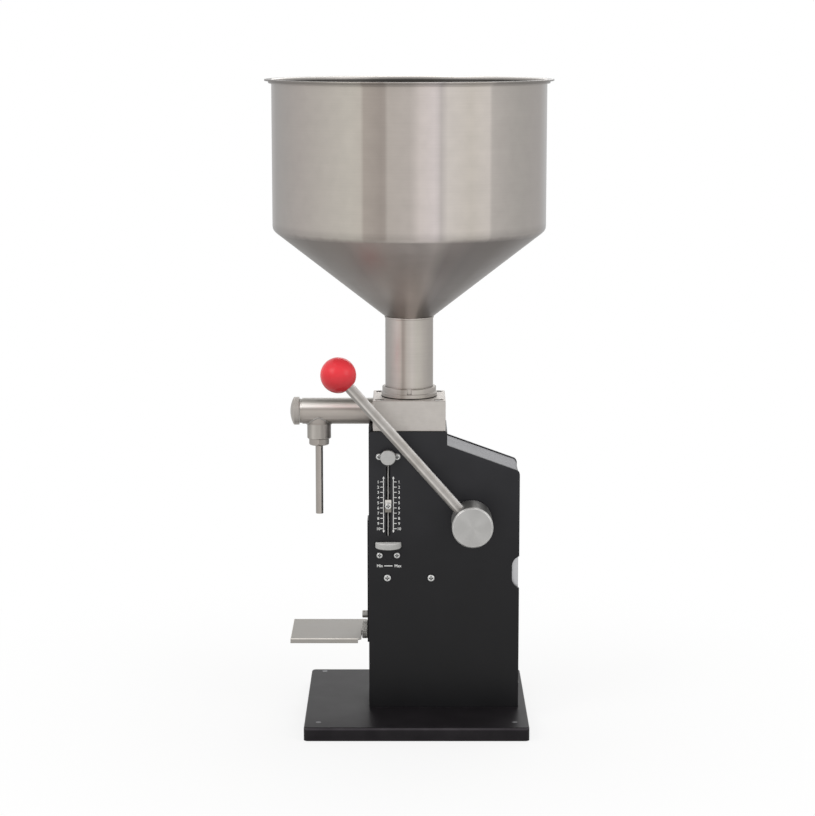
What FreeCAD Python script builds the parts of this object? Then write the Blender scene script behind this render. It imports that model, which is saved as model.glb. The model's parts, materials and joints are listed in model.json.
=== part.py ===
import FreeCAD, Part
import math
import os

# Bench-top hand-operated piston filler. Millimetres.
# Origin: on the bench, on the hopper axis. +Z up, +X away from the nozzle, -Y towards the scale side.

X = FreeCAD.Vector(1, 0, 0)
Y = FreeCAD.Vector(0, 1, 0)
Z = FreeCAD.Vector(0, 0, 1)
ORIGIN = FreeCAD.Vector(0, 0, 0)

# Base
pad_proud = 0.6
pad_r = 7.5
pad_pocket = 2.4
base_t = 15.0
base_left = -115.0
base_right = 131.0
base_depth = 232.0
base_edge_r = 2.0
base_corner_r = 5.0
base_screw_inset = 15.5
base_screw_front = 21.0
base_screw_back = 9.0
base_screw_r = 1.5

# Body case
body_h = 313.0
body_left = -44.7
body_w = 166.7
body_depth = 78.0
panel_t = 4.0
wall_t = 3.0
wall_rise = 5.0
deck_w = 86.5
deck_t = 15.0
slope_drop = 29.0
cover_t = 1.5
cover_inset = 1.0
cover_gap = 0.2
cover_flange = 20.0
notch_deep = 8.0
notch_h = 36.4
notch_drop = 158.0
notch_end_r = 12.0
corner_r = 6.0
edge_break = 0.4
bar_side = 12.0
bar_low_z = 40.0
bar_high_drop = 73.6
angle_leg = 20.0
angle_t = 3.0
angle_front_gap = 8.0
angle_rear_gap = 27.0
body_bolt_front = 30.0
body_bolt_rear = 42.0

# Valve block, collar and hopper
block_w = 80.0
block_depth = 74.0
block_h = 34.4
block_edge = 0.7
bolt_r = 3.0
bolt_head_r = 5.0
bolt_head_h = 6.0
bolt_inset = 8.0
collar_r = 30.7
collar_h = 11.4
neck_r = 26.5
neck_wall = 1.5
neck_h = 89.1
neck_seat = 5.5
gasket_t = 1.5
cone_h = 96.4
bowl_h = 163.2
bowl_r = 150.0
bowl_sheet = 1.5
bend_r = 9.0
rim_r = 157.6
rim_t = 1.8
lip_r = 153.4
lip_t = 2.6

# Piston group
dose_bore_r = 16.5
cylinder_wall = 4.5
stroke = 58.5
cylinder_spigot = 12.0
cylinder_flange_r = 29.0
cylinder_flange_t = 4.0
cylinder_below_deck = 42.6
chamber_ceiling = 3.0
port_r = 6.0
piston_len = 18.0
piston_gap = 0.15
seal_w = 3.0
seal_deep = 2.5
rod_r = 7.0
rod_below_pin = 96.0
cross_half = 12.0
cross_depth = 22.0
cross_up = 6.0
cross_down = 9.0
pin_r = 5.0
pin_out = 13.5
slot_slack = 0.8
guide_drop = 164.3
guide_w = 64.0
guide_h = 19.0
guide_back = 9.0
guide_bush_wall = 2.0
guide_screw_half = 24.2
guide_screw_len = 18.0
running_gap = 0.05
fit_gap = 0.02

# Shaft, lever and crank
shaft_x = 69.0
shaft_drop = 98.6
shaft_r = 10.0
bush_wall = 3.0
bush_flange = 3.0
bush_flange_t = 1.8
housing_r = 20.0
housing_t = 10.0
crank_t = 10.0
crank_boss_r = 19.0
crank_rim = 3.5
key_side = 6.0
set_collar_r = 17.0
set_collar_w = 10.0
hub_r = 22.5
hub_len = 40.0
hub_gap = 2.0
hub_edge = 1.4
lever_len = 220.3
lever_angle = 48.5
lever_r = 6.0
lever_in_hub = 11.0
lever_in_ball = 14.0
ball_r = 19.6
ball_flat = 2.0

# Dose dial
dial_x = -23.2
dial_inset = 2.6
dial_skin = 0.9
dial_r = 1.3
dial_division = 5.86
dial_divisions = 9
scale_drop = 55.8
slot_w = 4.6
slot_top_drop = 36.6
slot_bottom_drop = 116.6
slot_corner_r = 0.8
pointer_drop = 82.6
nut_w = 7.0
nut_neck_w = 4.2
nut_h = 14.0
nut_front = 2.5
nut_gap = 0.2
nut_back = 15.0
nut_screw_r = 3.6
top_bearing_drop = 27.3
cap_r = 8.5
cap_t = 5.0
cap_neck_r = 6.0
cap_neck = 4.5
ear_half = 9.9
ear_r = 3.7
ear_t = 1.6
small_screw_r = 2.0
small_head_r = 3.4
small_head_t = 2.2
wheel_r = 14.5
wheel_t = 6.4
wheel_drop = 127.2
window_half = 15.0
window_gap = 0.5
low_bearing_drop = 138.6
low_bearing_h = 11.0
low_bearing_half = 15.0
low_bearing_t = 9.0
low_bearing_nose = 4.5
low_screw_half = 9.6
stop_nose_gap = 1.0
stop_bar = 6.0

# Discharge side
tube_r = 14.5
tube_bore_r = 11.0
tube_end_x = -121.3
tube_neck_r = 13.6
tube_neck_w = 2.6
valve_seat_x = -50.0
valve_bore_r = 6.5
tube_spigot = 12.0
boss_x = -100.4
boss_r = 13.25
boss_drop = 30.8
boss_bore_r = 8.6
boss_bore_deep = 10.2
nozzle_nut_r = 10.9
nozzle_nut_h = 7.2
nozzle_r = 4.2
nozzle_bore_r = 3.2
nozzle_drop = 78.3
nozzle_flange_t = 2.0
end_cap_r = 15.5
end_cap_t = 10.0
cap_dome = 3.5
cap_gasket_t = 1.0
cap_spigot = 9.3
poppet_stem_r = 3.0
outlet_disc_r = 9.5
outlet_disc_t = 3.0
outlet_lift = 5.0
inlet_hole_r = 10.0
inlet_disc_r = 13.5
inlet_disc_t = 2.5
inlet_stem_r = 2.5
inlet_stem_top = 28.0
inlet_lift = 4.0
spider_r = 20.6
spider_t = 4.0
spider_rim = 3.0
valve_gap = 0.2
spring_wire = 1.2
spring_r = 5.2

# Bottle tray
tray_outer_x = -132.2
tray_inner_x = -53.4
tray_lip_end_x = -57.0
tray_depth = 86.0
tray_top_z = 96.0
tray_t = 2.0
tray_lip = 5.4
tray_travel = 85.0
tray_stud_r = 4.0
tray_nut_r = 10.0
tray_nut_w = 6.2
tray_pin_rise = 18.0
tray_pin_r = 3.0
tray_pin_head_r = 4.2
tray_bar_t = 6.0
tray_bar_half = 10.0
tray_tab = 2.0
tray_tongue = 12.0
guide_plate_t = 2.0
guide_plate_half = 16.0
guide_plate_top = 224.0
guide_plate_bottom = 84.0
side_gap = 0.2

# Levels and planes worked out from the sizes above
base_top = pad_proud + base_t
body_top = base_top + body_h
notch_z = body_top - notch_drop
bar_high_z = body_top - bar_high_drop
guide_z = body_top - guide_drop
shaft_z = body_top - shaft_drop
scale_top_z = body_top - scale_drop
slot_top_z = body_top - slot_top_drop
slot_bottom_z = body_top - slot_bottom_drop
pointer_z = body_top - pointer_drop
top_bearing_z = body_top - top_bearing_drop
wheel_z = body_top - wheel_drop
low_bearing_z = body_top - low_bearing_drop
body_right = body_left + body_w
front = -body_depth / 2
back = body_depth / 2
front_in = front + panel_t
back_in = back - panel_t
step_x = body_left + deck_w
deck_bottom = body_top - deck_t
slope_end = deck_bottom - slope_drop
block_top = body_top + block_h
neck_floor = block_top - neck_seat - gasket_t
cone_bottom = block_top + neck_h
bowl_bottom = cone_bottom + cone_h
rim_top = bowl_bottom + bowl_h
outlet_z = body_top + block_h / 2
chamber_top = neck_floor - chamber_ceiling
cylinder_top = body_top + cylinder_spigot
cylinder_bottom = deck_bottom - cylinder_below_deck
cylinder_r = dose_bore_r + cylinder_wall
piston_top = cylinder_top - 0.6
piston_bottom = piston_top - piston_len
pin_z = shaft_z + stroke / 2
half_swing = math.degrees(math.atan(stroke / 2 / shaft_x))
pin_far = math.hypot(shaft_x, stroke / 2)
cross_y = cross_depth / 2
crank_y = cross_y + 2.0
crank_tip_r = pin_r + slot_slack + crank_rim
dial_y = front + dial_inset
nut_rear_y = front + nut_back
hub_back = front - hub_gap
hub_front = hub_back - hub_len
lever_y = hub_back - hub_len / 2
guide_out = body_left - guide_plate_t
tray_mid_z = tray_top_z - tray_t / 2


def vec(x, y, z):
    return FreeCAD.Vector(x, y, z)


def box(x0, x1, y0, y1, z0, z1):
    return Part.makeBox(x1 - x0, y1 - y0, z1 - z0, vec(x0, y0, z0))


def rod_x(r, x0, x1, y, z):
    return Part.makeCylinder(r, x1 - x0, vec(x0, y, z), X)


def rod_y(r, x, y0, y1, z):
    return Part.makeCylinder(r, y1 - y0, vec(x, y0, z), Y)


def rod_z(r, x, y, z0, z1):
    return Part.makeCylinder(r, z1 - z0, vec(x, y, z0), Z)


def outline_face(points):
    wire = Part.makePolygon(points + [points[0]])
    return Part.Face(wire)


def prism_y(points, y0, y1):
    face = outline_face([vec(x, y0, z) for x, z in points])
    return face.extrude(Y * (y1 - y0))


def turned_z(points):
    face = outline_face([vec(r, 0, z) for r, z in points])
    return face.revolve(ORIGIN, Z, 360)


def turned_x(points, y, z):
    face = outline_face([vec(x, y, z + r) for x, r in points])
    return face.revolve(vec(0, y, z), X, 360)


def turned_y(points, x, z):
    face = outline_face([vec(x + r, y, z) for y, r in points])
    return face.revolve(vec(x, 0, z), Y, 360)


def fuse(first, *others):
    return first.fuse(list(others)).removeSplitter()


def cut(body, *tools):
    return body.cut(list(tools))


def edges_where(shape, test):
    return [edge for edge in shape.Edges if test(edge.CenterOfMass, edge)]


def is_straight(edge, axis):
    if edge.Curve.TypeId != "Part::GeomLine":
        return False
    return abs(edge.tangentAt(edge.FirstParameter).dot(axis)) > 0.999


def about_shaft(shape, degrees):
    shape.rotate(vec(shaft_x, 0, shaft_z), Y, degrees)
    return shape


def screw_y(x, z, y_face, shank_r, shank_len, head_r, head_t):
    # Pan-head screw driven towards +Y, with a cross recess.
    head = rod_y(head_r, x, y_face - head_t, y_face, z)
    rim = edges_where(head, lambda c, e: abs(c.y - (y_face - head_t)) < 0.01)
    head = head.makeFillet(head_t * 0.45, rim)
    arm = head_r * 0.6
    half = head_r * 0.2
    deep = head_t * 0.8
    slot_a = box(x - arm, x + arm, y_face - head_t, y_face - head_t + deep, z - half, z + half)
    slot_b = box(x - half, x + half, y_face - head_t, y_face - head_t + deep, z - arm, z + arm)
    shank = rod_y(shank_r, x, y_face, y_face + shank_len, z)
    return cut(fuse(head, shank), slot_a, slot_b)


def socket_bolt_z(x, y, z_head_bottom, shank_r, shank_len, head_r, head_h):
    # Socket-head bolt, head up.
    head = rod_z(head_r, x, y, z_head_bottom, z_head_bottom + head_h)
    shank = rod_z(shank_r, x, y, z_head_bottom - shank_len, z_head_bottom)
    key = Part.makePolygon([vec(x + shank_r * math.cos(math.radians(60 * k)),
                                y + shank_r * math.sin(math.radians(60 * k)),
                                z_head_bottom + head_h / 2) for k in range(7)])
    socket = Part.Face(key).extrude(Z * head_h)
    return cut(fuse(head, shank), socket)


def flat_spring_z(mean_r, z0, z1, turns):
    # Open coil of square wire, ground square at both ends by its seats.
    pitch = (z1 - z0 - spring_wire) / turns
    spine = Part.makeHelix(pitch, pitch * turns, mean_r)
    half = spring_wire / 2
    section = Part.makePolygon([vec(mean_r - half, 0, -half), vec(mean_r + half, 0, -half),
                                vec(mean_r + half, 0, half), vec(mean_r - half, 0, half),
                                vec(mean_r - half, 0, -half)])
    coil = Part.Wire(spine).makePipeShell([section], True, True)
    coil.translate(vec(0, 0, z0 + half))
    return coil


# Base

def base_corners():
    xs = (base_left + base_screw_inset, base_right - base_screw_inset)
    ys = (base_screw_front - base_depth / 2, base_depth / 2 - base_screw_back)
    return [(x, y) for x in xs for y in ys]


def body_bolt_places():
    xs = (body_left + body_bolt_front, body_right - body_bolt_rear)
    y = front_in + angle_leg / 2 + 1.0
    return [(x, side * y) for x in xs for side in (-1, 1)]


def make_base_plate():
    half = base_depth / 2
    plate = box(base_left, base_right, -half, half, pad_proud, base_top)
    uprights = edges_where(plate, lambda c, e: is_straight(e, Z))
    plate = plate.makeFillet(base_corner_r, uprights)
    top_rim = edges_where(plate, lambda c, e: abs(c.z - base_top) < 0.01)
    plate = plate.makeFillet(base_edge_r, top_rim)
    for x, y in base_corners():
        sink = Part.makeCone(base_screw_r, base_screw_r * 2, base_screw_r,
                             vec(x, y, base_top - base_screw_r), Z)
        hole = rod_z(base_screw_r, x, y, pad_proud, base_top)
        pocket = rod_z(pad_r + 0.3, x, y, pad_proud, pad_proud + pad_pocket)
        plate = cut(plate, sink, hole, pocket)
    for x, y in body_bolt_places():
        head = rod_z(bolt_head_r + 0.5, x, y, pad_proud, pad_proud + bolt_head_h + 1.0)
        plate = cut(plate, head, rod_z(bolt_r, x, y, pad_proud, base_top))
    return plate


def make_foot_pads():
    pads = []
    for x, y in base_corners():
        pad = rod_z(pad_r, x, y, 0, pad_proud + pad_pocket)
        pad = cut(pad, rod_z(base_screw_r, x, y, 1.0, pad_proud + pad_pocket))
        pads.append(pad)
    return Part.makeCompound(pads)


def make_base_screws():
    screws = []
    for x, y in base_corners():
        head = Part.makeCone(base_screw_r, base_screw_r * 2 - 0.05, base_screw_r - 0.05,
                             vec(x, y, base_top - base_screw_r), Z)
        shank = rod_z(base_screw_r, x, y, 1.0, base_top - base_screw_r)
        slot = box(x - base_screw_r, x + base_screw_r, y - 0.4, y + 0.4, base_top - 0.8, base_top)
        screws.append(cut(fuse(head, shank), slot))
    return Part.makeCompound(screws)


def make_base_angles():
    angles = []
    x0 = body_left + wall_t + angle_front_gap
    x1 = body_right - angle_rear_gap
    for side in (-1, 1):
        y_wall = side * back_in
        y_foot = side * (back_in - angle_leg)
        y_thin = side * (back_in - angle_t)
        foot = box(x0, x1, min(y_wall, y_foot), max(y_wall, y_foot), base_top, base_top + angle_t)
        web = box(x0, x1, min(y_wall, y_thin), max(y_wall, y_thin), base_top, base_top + angle_leg)
        angle = fuse(foot, web)
        for x, y in body_bolt_places():
            if y * side > 0:
                angle = cut(angle, rod_z(bolt_r, x, y, base_top, base_top + angle_t))
        angles.append(angle)
    return Part.makeCompound(angles)


def make_body_bolts():
    bolts = []
    reach = base_t - bolt_head_h - 1.0 + angle_t
    for x, y in body_bolt_places():
        bolt = socket_bolt_z(0, 0, 0, bolt_r, reach, bolt_head_r, bolt_head_h)
        bolt.rotate(ORIGIN, X, 180)
        bolt.translate(vec(x, y, pad_proud + bolt_head_h + 1.0))
        bolts.append(bolt)
    return Part.makeCompound(bolts)


# Body case

def panel_outline():
    return [(body_left, base_top), (body_right, base_top), (body_right, slope_end),
            (step_x, deck_bottom), (step_x, body_top), (body_left, body_top)]


def blank_panel(y0, y1, outer):
    # The plate before its openings, its rear upper corner rounded and its outer edges broken.
    plate = prism_y(panel_outline(), y0, y1)
    corner = edges_where(plate, lambda c, e: is_straight(e, Y) and c.x > body_right - 1 and c.z > slope_end - 1)
    plate = plate.makeFillet(corner_r, corner)
    rim = edges_where(plate, lambda c, e: abs(c.y - outer) < 0.01 and c.z > base_top + 1)
    return plate.makeChamfer(edge_break, rim)


def finger_notch():
    x = body_right - notch_deep + notch_end_r
    middle = notch_h / 2 - math.sqrt(notch_end_r ** 2 - (notch_end_r - notch_deep) ** 2)
    ends = [rod_y(notch_end_r, x, front - 1, back + 1, notch_z + side * middle) for side in (-1, 1)]
    block = box(x - notch_end_r, x + notch_end_r, front - 1, back + 1, notch_z - middle, notch_z + middle)
    return fuse(block, *ends)


def dial_openings():
    y0 = front - 1
    y1 = front_in + 1
    slot = box(dial_x - slot_w / 2, dial_x + slot_w / 2, y0, y1, slot_bottom_z, slot_top_z)
    slot = slot.makeFillet(slot_corner_r, edges_where(slot, lambda c, e: is_straight(e, Y)))
    window = box(dial_x - window_half, dial_x + window_half, y0, y1,
                 wheel_z - wheel_t / 2 - window_gap, wheel_z + wheel_t / 2 + window_gap)
    nose = low_bearing_nose + side_gap
    nose_cut = box(dial_x - nose, dial_x + nose, y0, y1,
                   low_bearing_z - low_bearing_nose - side_gap, wheel_z)
    cap_hole = rod_y(cap_neck_r + side_gap, dial_x, y0, y1, top_bearing_z)
    groove = dial_r + 0.3
    behind = box(dial_x - groove, dial_x + groove, front + dial_skin, y1, wheel_z, top_bearing_z)
    holes = [behind]
    for side in (-1, 1):
        holes.append(rod_y(small_screw_r, dial_x + side * ear_half, y0, y1, top_bearing_z))
        holes.append(rod_y(small_screw_r, dial_x + side * low_screw_half, y0, y1, low_bearing_z))
        holes.append(rod_y(small_screw_r, side * guide_screw_half, y0, y1, guide_z))
    return [slot, window, nose_cut, cap_hole] + holes


def shaft_opening():
    r = shaft_r + bush_wall + fit_gap
    return rod_y(r, shaft_x, front - 1, back + 1, shaft_z)


def make_front_panel():
    panel = blank_panel(front, front_in, front)
    return cut(panel, finger_notch(), shaft_opening(), *dial_openings())


def make_far_panel():
    panel = blank_panel(back_in, back, back)
    return cut(panel, finger_notch(), shaft_opening())


def tray_slot(x0, x1):
    low = tray_mid_z
    high = tray_mid_z + tray_pin_rise + tray_travel - tray_stud_r + tray_pin_r
    r = tray_stud_r + side_gap
    slot = box(x0, x1, -r, r, low, high)
    return fuse(slot, rod_x(r, x0, x1, 0, low), rod_x(r, x0, x1, 0, high))


def guide_plate_screw_places():
    y = guide_plate_half - 4.0
    return [(side * y, z) for side in (-1, 1)
            for z in (guide_plate_bottom + 5.0, guide_plate_top - 8.0)]


def make_nozzle_side_wall():
    wall = box(body_left, body_left + wall_t, front_in, back_in, base_top, body_top + wall_rise)
    saddle = rod_x(tube_r + 0.5, body_left - 1, body_left + wall_t + 1, 0, outlet_z)
    wall = cut(wall, saddle, tray_slot(body_left - 1, body_left + wall_t + 1))
    for y, z in guide_plate_screw_places():
        wall = cut(wall, rod_x(small_screw_r, body_left - 1, body_left + wall_t + 1, y, z))
    return wall


def make_tray_guide_plate():
    plate = box(guide_out, body_left, -guide_plate_half, guide_plate_half,
                guide_plate_bottom, guide_plate_top)
    corners = edges_where(plate, lambda c, e: is_straight(e, X))
    plate = plate.makeFillet(3.0, corners)
    plate = cut(plate, tray_slot(guide_out - 1, body_left + 1))
    for y, z in guide_plate_screw_places():
        sink = Part.makeCone(small_screw_r * 1.8, small_screw_r, small_screw_r * 0.8,
                             vec(guide_out, y, z), X)
        plate = cut(plate, sink, rod_x(small_screw_r, guide_out - 1, body_left + 1, y, z))
    return plate


def make_guide_plate_screws():
    screws = []
    for y, z in guide_plate_screw_places():
        head = Part.makeCone(small_screw_r * 1.8, small_screw_r, small_screw_r * 0.8,
                             vec(guide_out, y, z), X)
        shank = rod_x(small_screw_r, guide_out + small_screw_r * 0.8, body_left + wall_t, y, z)
        slot = box(guide_out, guide_out + 0.7, y - small_screw_r, y + small_screw_r, z - 0.4, z + 0.4)
        screws.append(cut(fuse(head, shank), slot))
    return Part.makeCompound(screws)


def make_top_deck():
    deck = box(body_left + wall_t, step_x, front_in, back_in, deck_bottom, body_top)
    recess = rod_z(cylinder_flange_r + side_gap, 0, 0, body_top - cylinder_flange_t, body_top)
    hole = rod_z(cylinder_r + side_gap, 0, 0, deck_bottom, body_top)
    deck = cut(deck, recess, hole)
    for x, y in block_bolt_places():
        deck = cut(deck, rod_z(bolt_r, x, y, deck_bottom, body_top))
    return deck


def make_rear_cover():
    slope = math.atan2(slope_drop, body_right - step_x)
    drop = cover_inset / math.cos(slope)
    out_x = body_right - cover_inset
    in_x = out_x - cover_t
    top_left = deck_bottom - drop
    out_knee = slope_end - drop + cover_inset * math.tan(slope)
    in_drop = cover_t / math.cos(slope)
    in_knee = out_knee - in_drop + cover_t * math.tan(slope)
    low = base_top + cover_gap
    x_start = step_x + cover_gap
    top_start = top_left - cover_gap * math.tan(slope)
    outline = [(x_start, top_start), (out_x, out_knee), (out_x, low), (in_x, low),
               (in_x, in_knee), (x_start, top_start - in_drop)]
    y0 = front_in + cover_gap
    y1 = back_in - cover_gap
    cover = prism_y(outline, y0, y1)
    outer = edges_where(cover, lambda c, e: is_straight(e, Y) and abs(c.x - out_x) < 0.01 and c.z > low + 1)
    cover = cover.makeFillet(corner_r - cover_inset, outer)
    inner = edges_where(cover, lambda c, e: is_straight(e, Y) and abs(c.x - in_x) < 0.01 and c.z > low + 1)
    cover = cover.makeFillet(corner_r - cover_inset - cover_t, inner)
    z0 = bar_low_z + bar_side
    z1 = bar_high_z - bar_side
    near = box(out_x - cover_flange, in_x, y0, y0 + cover_t, z0, z1)
    far = box(out_x - cover_flange, in_x, y1 - cover_t, y1, z0, z1)
    cover = fuse(cover, near, far)
    for y, z in cover_screw_places():
        cover = cut(cover, rod_x(small_screw_r, in_x - 1, out_x + 1, y, z))
    return cover


def cover_screw_places():
    y = body_depth / 4
    return [(side * y, z) for side in (-1, 1) for z in (bar_low_z, bar_high_z)]


def make_rear_cover_screws():
    screws = []
    out_x = body_right - cover_inset
    for y, z in cover_screw_places():
        head = rod_x(small_head_r, out_x, out_x + cover_inset - 0.1 + 1.0, y, z)
        rim = edges_where(head, lambda c, e: c.x > out_x + 1.5)
        head = head.makeFillet(0.9, rim)
        shank = rod_x(small_screw_r, out_x - 8.0, out_x, y, z)
        slot = box(out_x + 1.2, out_x + 2.5, y - 2.0, y + 2.0, z - 0.4, z + 0.4)
        screws.append(cut(fuse(head, shank), slot))
    return Part.makeCompound(screws)


def make_cross_bars():
    bars = []
    in_x = body_right - cover_inset - cover_t
    for z in (bar_low_z, bar_high_z):
        bar = box(in_x - bar_side, in_x, front_in, back_in, z - bar_side / 2, z + bar_side / 2)
        for y, screw_z in cover_screw_places():
            if abs(screw_z - z) < 0.01:
                bar = cut(bar, rod_x(small_screw_r, in_x - 8.0 + cover_t, in_x, y, z))
        bars.append(bar)
    return Part.makeCompound(bars)


# Valve block, collar and hopper

def block_bolt_places():
    x = block_w / 2 - bolt_inset
    y = block_depth / 2 - bolt_inset
    return [(sx * x, sy * y) for sx in (-1, 1) for sy in (-1, 1)]


def make_valve_block():
    block = box(-block_w / 2, block_w / 2, -block_depth / 2, block_depth / 2, body_top, block_top)
    block = block.makeChamfer(block_edge, block.Edges)
    neck_socket = rod_z(neck_r + side_gap, 0, 0, neck_floor, block_top)
    inlet = rod_z(inlet_hole_r, 0, 0, chamber_top, neck_floor)
    chamber = rod_z(dose_bore_r, 0, 0, cylinder_top, chamber_top)
    seat = rod_z(cylinder_r + fit_gap, 0, 0, body_top, cylinder_top)
    port = rod_x(port_r, -block_w / 2, 0, 0, outlet_z)
    tube_socket = rod_x(tube_bore_r, -block_w / 2, -block_w / 2 + tube_spigot, 0, outlet_z)
    block = cut(block, neck_socket, inlet, chamber, seat, port, tube_socket)
    for x, y in block_bolt_places():
        head = rod_z(bolt_head_r + 0.6, x, y, block_top - bolt_head_h - 1.0, block_top)
        block = cut(block, head, rod_z(bolt_r, x, y, body_top, block_top))
    return block


def make_block_bolts():
    reach = block_h - bolt_head_h - 1.0 + deck_t - 1.0
    z = block_top - bolt_head_h - 1.0
    bolts = [socket_bolt_z(x, y, z, bolt_r, reach, bolt_head_r, bolt_head_h)
             for x, y in block_bolt_places()]
    return Part.makeCompound(bolts)


def make_collar():
    top = block_top + collar_h
    waist = block_top + collar_h * 0.42
    inner = neck_r + fit_gap
    outline = [(inner, block_top), (collar_r - 1.0, block_top), (collar_r, block_top + 1.0),
               (collar_r, waist), (collar_r - 0.8, waist + 0.6), (collar_r - 0.8, top - 1.0),
               (collar_r - 1.8, top), (inner, top)]
    ring = turned_z(outline)
    for angle in range(0, 360, 90):
        notch = box(collar_r - 2.2, collar_r + 1, -2.5, 2.5, waist + 0.6, top + 1)
        notch.rotate(ORIGIN, Z, angle)
        ring = cut(ring, notch)
    return ring


def make_neck_gasket():
    ring = rod_z(neck_r - 0.1, 0, 0, neck_floor, neck_floor + gasket_t)
    return cut(ring, rod_z(spider_r + 0.2, 0, 0, neck_floor, neck_floor + gasket_t))


def make_hopper_neck():
    z0 = neck_floor + gasket_t
    tube = rod_z(neck_r, 0, 0, z0, cone_bottom)
    return cut(tube, rod_z(neck_r - neck_wall, 0, 0, z0, cone_bottom))


def make_hopper_bowl():
    slope = math.atan2(cone_h, bowl_r - neck_r)
    t_cone = bowl_sheet / math.cos(math.pi / 2 - slope)
    back_off = bend_r * math.tan((math.pi / 2 - slope) / 2)

    def side(r_wall, r_neck, z_knee, z_foot):
        on_wall = vec(r_wall, 0, z_knee + back_off)
        on_cone = vec(r_wall - back_off * math.cos(slope), 0, z_knee - back_off * math.sin(slope))
        centre = vec(r_wall - bend_r, 0, z_knee + back_off)
        turn = (math.pi / 2 - slope) / 2
        middle = centre + vec(bend_r * math.cos(turn), 0, -bend_r * math.sin(turn))
        return on_wall, middle, on_cone, vec(r_neck, 0, z_foot)

    wall_o, mid_o, cone_o, foot_o = side(bowl_r, neck_r, bowl_bottom, cone_bottom)
    lift = bowl_sheet / math.cos(slope) - bowl_sheet * math.tan(slope)
    wall_i, mid_i, cone_i, foot_i = side(bowl_r - bowl_sheet, neck_r - neck_wall,
                                         bowl_bottom + lift, cone_bottom)
    foot_i = vec(neck_r - neck_wall, 0, cone_bottom + lift + (bowl_sheet - neck_wall) * math.tan(slope))
    rim = [vec(bowl_r, 0, rim_top - rim_t - lip_t), vec(lip_r, 0, rim_top - rim_t - lip_t),
           vec(lip_r, 0, rim_top - rim_t), vec(rim_r, 0, rim_top - rim_t),
           vec(rim_r, 0, rim_top), vec(bowl_r - bowl_sheet, 0, rim_top)]
    foot_low = vec(neck_r - neck_wall, 0, cone_bottom)
    edges = [Part.LineSegment(foot_low, foot_o), Part.LineSegment(foot_o, cone_o),
             Part.Arc(cone_o, mid_o, wall_o), Part.LineSegment(wall_o, rim[0])]
    edges += [Part.LineSegment(a, b) for a, b in zip(rim, rim[1:])]
    edges += [Part.LineSegment(rim[-1], wall_i), Part.Arc(wall_i, mid_i, cone_i),
              Part.LineSegment(cone_i, foot_i), Part.LineSegment(foot_i, foot_low)]
    wire = Part.Wire([edge.toShape() for edge in edges])
    return Part.Face(wire).revolve(ORIGIN, Z, 360)


# Inlet valve

def make_valve_spider():
    top = neck_floor + spider_t
    ring = cut(rod_z(spider_r, 0, 0, neck_floor, top),
               rod_z(spider_r - spider_rim, 0, 0, neck_floor, top))
    hub = rod_z(inlet_stem_r + 3.0, 0, 0, neck_floor, top)
    arms = []
    for angle in (0, 120, 240):
        arm = box(0, spider_r - spider_rim / 2, -2.0, 2.0, neck_floor, top)
        arm.rotate(ORIGIN, Z, angle)
        arms.append(arm)
    body = fuse(ring, hub, *arms)
    return cut(body, rod_z(inlet_stem_r + running_gap, 0, 0, neck_floor, top))


def make_inlet_poppet():
    disc_top = chamber_top - valve_gap
    disc = rod_z(inlet_disc_r, 0, 0, disc_top - inlet_disc_t, disc_top)
    top = neck_floor + inlet_stem_top
    stem = rod_z(inlet_stem_r, 0, 0, disc_top, top)
    head = rod_z(spring_r + spring_wire, 0, 0, top - 3.0, top)
    return fuse(disc, stem, head)


def make_inlet_spring():
    low = neck_floor + spider_t + valve_gap
    high = neck_floor + inlet_stem_top - 3.0 - valve_gap
    return flat_spring_z(spring_r, low, high, 4)


# Discharge side

def make_discharge_tube():
    x_block = -block_w / 2
    z = outlet_z
    outline = [(tube_end_x, 0), (tube_end_x, tube_neck_r), (tube_end_x + tube_neck_w, tube_neck_r),
               (tube_end_x + tube_neck_w, tube_r), (x_block, tube_r),
               (x_block, tube_bore_r - fit_gap), (x_block + tube_spigot, tube_bore_r - fit_gap),
               (x_block + tube_spigot, 0)]
    tube = turned_x(outline, 0, z)
    boss = rod_z(boss_r, boss_x, 0, z - boss_drop, z)
    foot = edges_where(boss, lambda c, e: abs(c.z - (z - boss_drop)) < 0.01)
    boss = boss.makeChamfer(0.8, foot)
    body = fuse(tube, boss)
    wide = rod_x(tube_bore_r, tube_end_x, valve_seat_x, 0, z)
    narrow = rod_x(valve_bore_r, valve_seat_x, x_block + tube_spigot, 0, z)
    drop = rod_z(port_r, boss_x, 0, z - boss_drop, z)
    nut_bore = rod_z(boss_bore_r, boss_x, 0, z - boss_drop, z - boss_drop + boss_bore_deep)
    return cut(body, wide, narrow, drop, nut_bore)


def make_end_cap():
    x_in = tube_end_x - cap_gasket_t
    x_out = x_in - end_cap_t
    sag_r = (end_cap_r - 1.0) ** 2 / (2 * cap_dome) + cap_dome / 2
    start = vec(x_out, 0, outlet_z)
    end = vec(x_out + cap_dome, 0, outlet_z + end_cap_r - 1.0)
    half = math.asin((end_cap_r - 1.0) / sag_r) / 2
    middle = vec(x_out + sag_r * (1 - math.cos(half)), 0, outlet_z + sag_r * math.sin(half))
    rest = [end, vec(x_out + cap_dome + 1.0, 0, outlet_z + end_cap_r), vec(x_in, 0, outlet_z + end_cap_r),
            vec(x_in, 0, outlet_z + tube_bore_r - 0.1),
            vec(x_in + cap_spigot, 0, outlet_z + tube_bore_r - 0.1),
            vec(x_in + cap_spigot, 0, outlet_z), start]
    edges = [Part.Arc(start, middle, end)] + [Part.LineSegment(a, b) for a, b in zip(rest, rest[1:])]
    face = Part.Face(Part.Wire([edge.toShape() for edge in edges]))
    cap = face.revolve(vec(0, 0, outlet_z), X, 360)
    bore = rod_x(poppet_stem_r + running_gap, x_in - 3.5, x_in + cap_spigot, 0, outlet_z)
    return cut(cap, bore)


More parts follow.
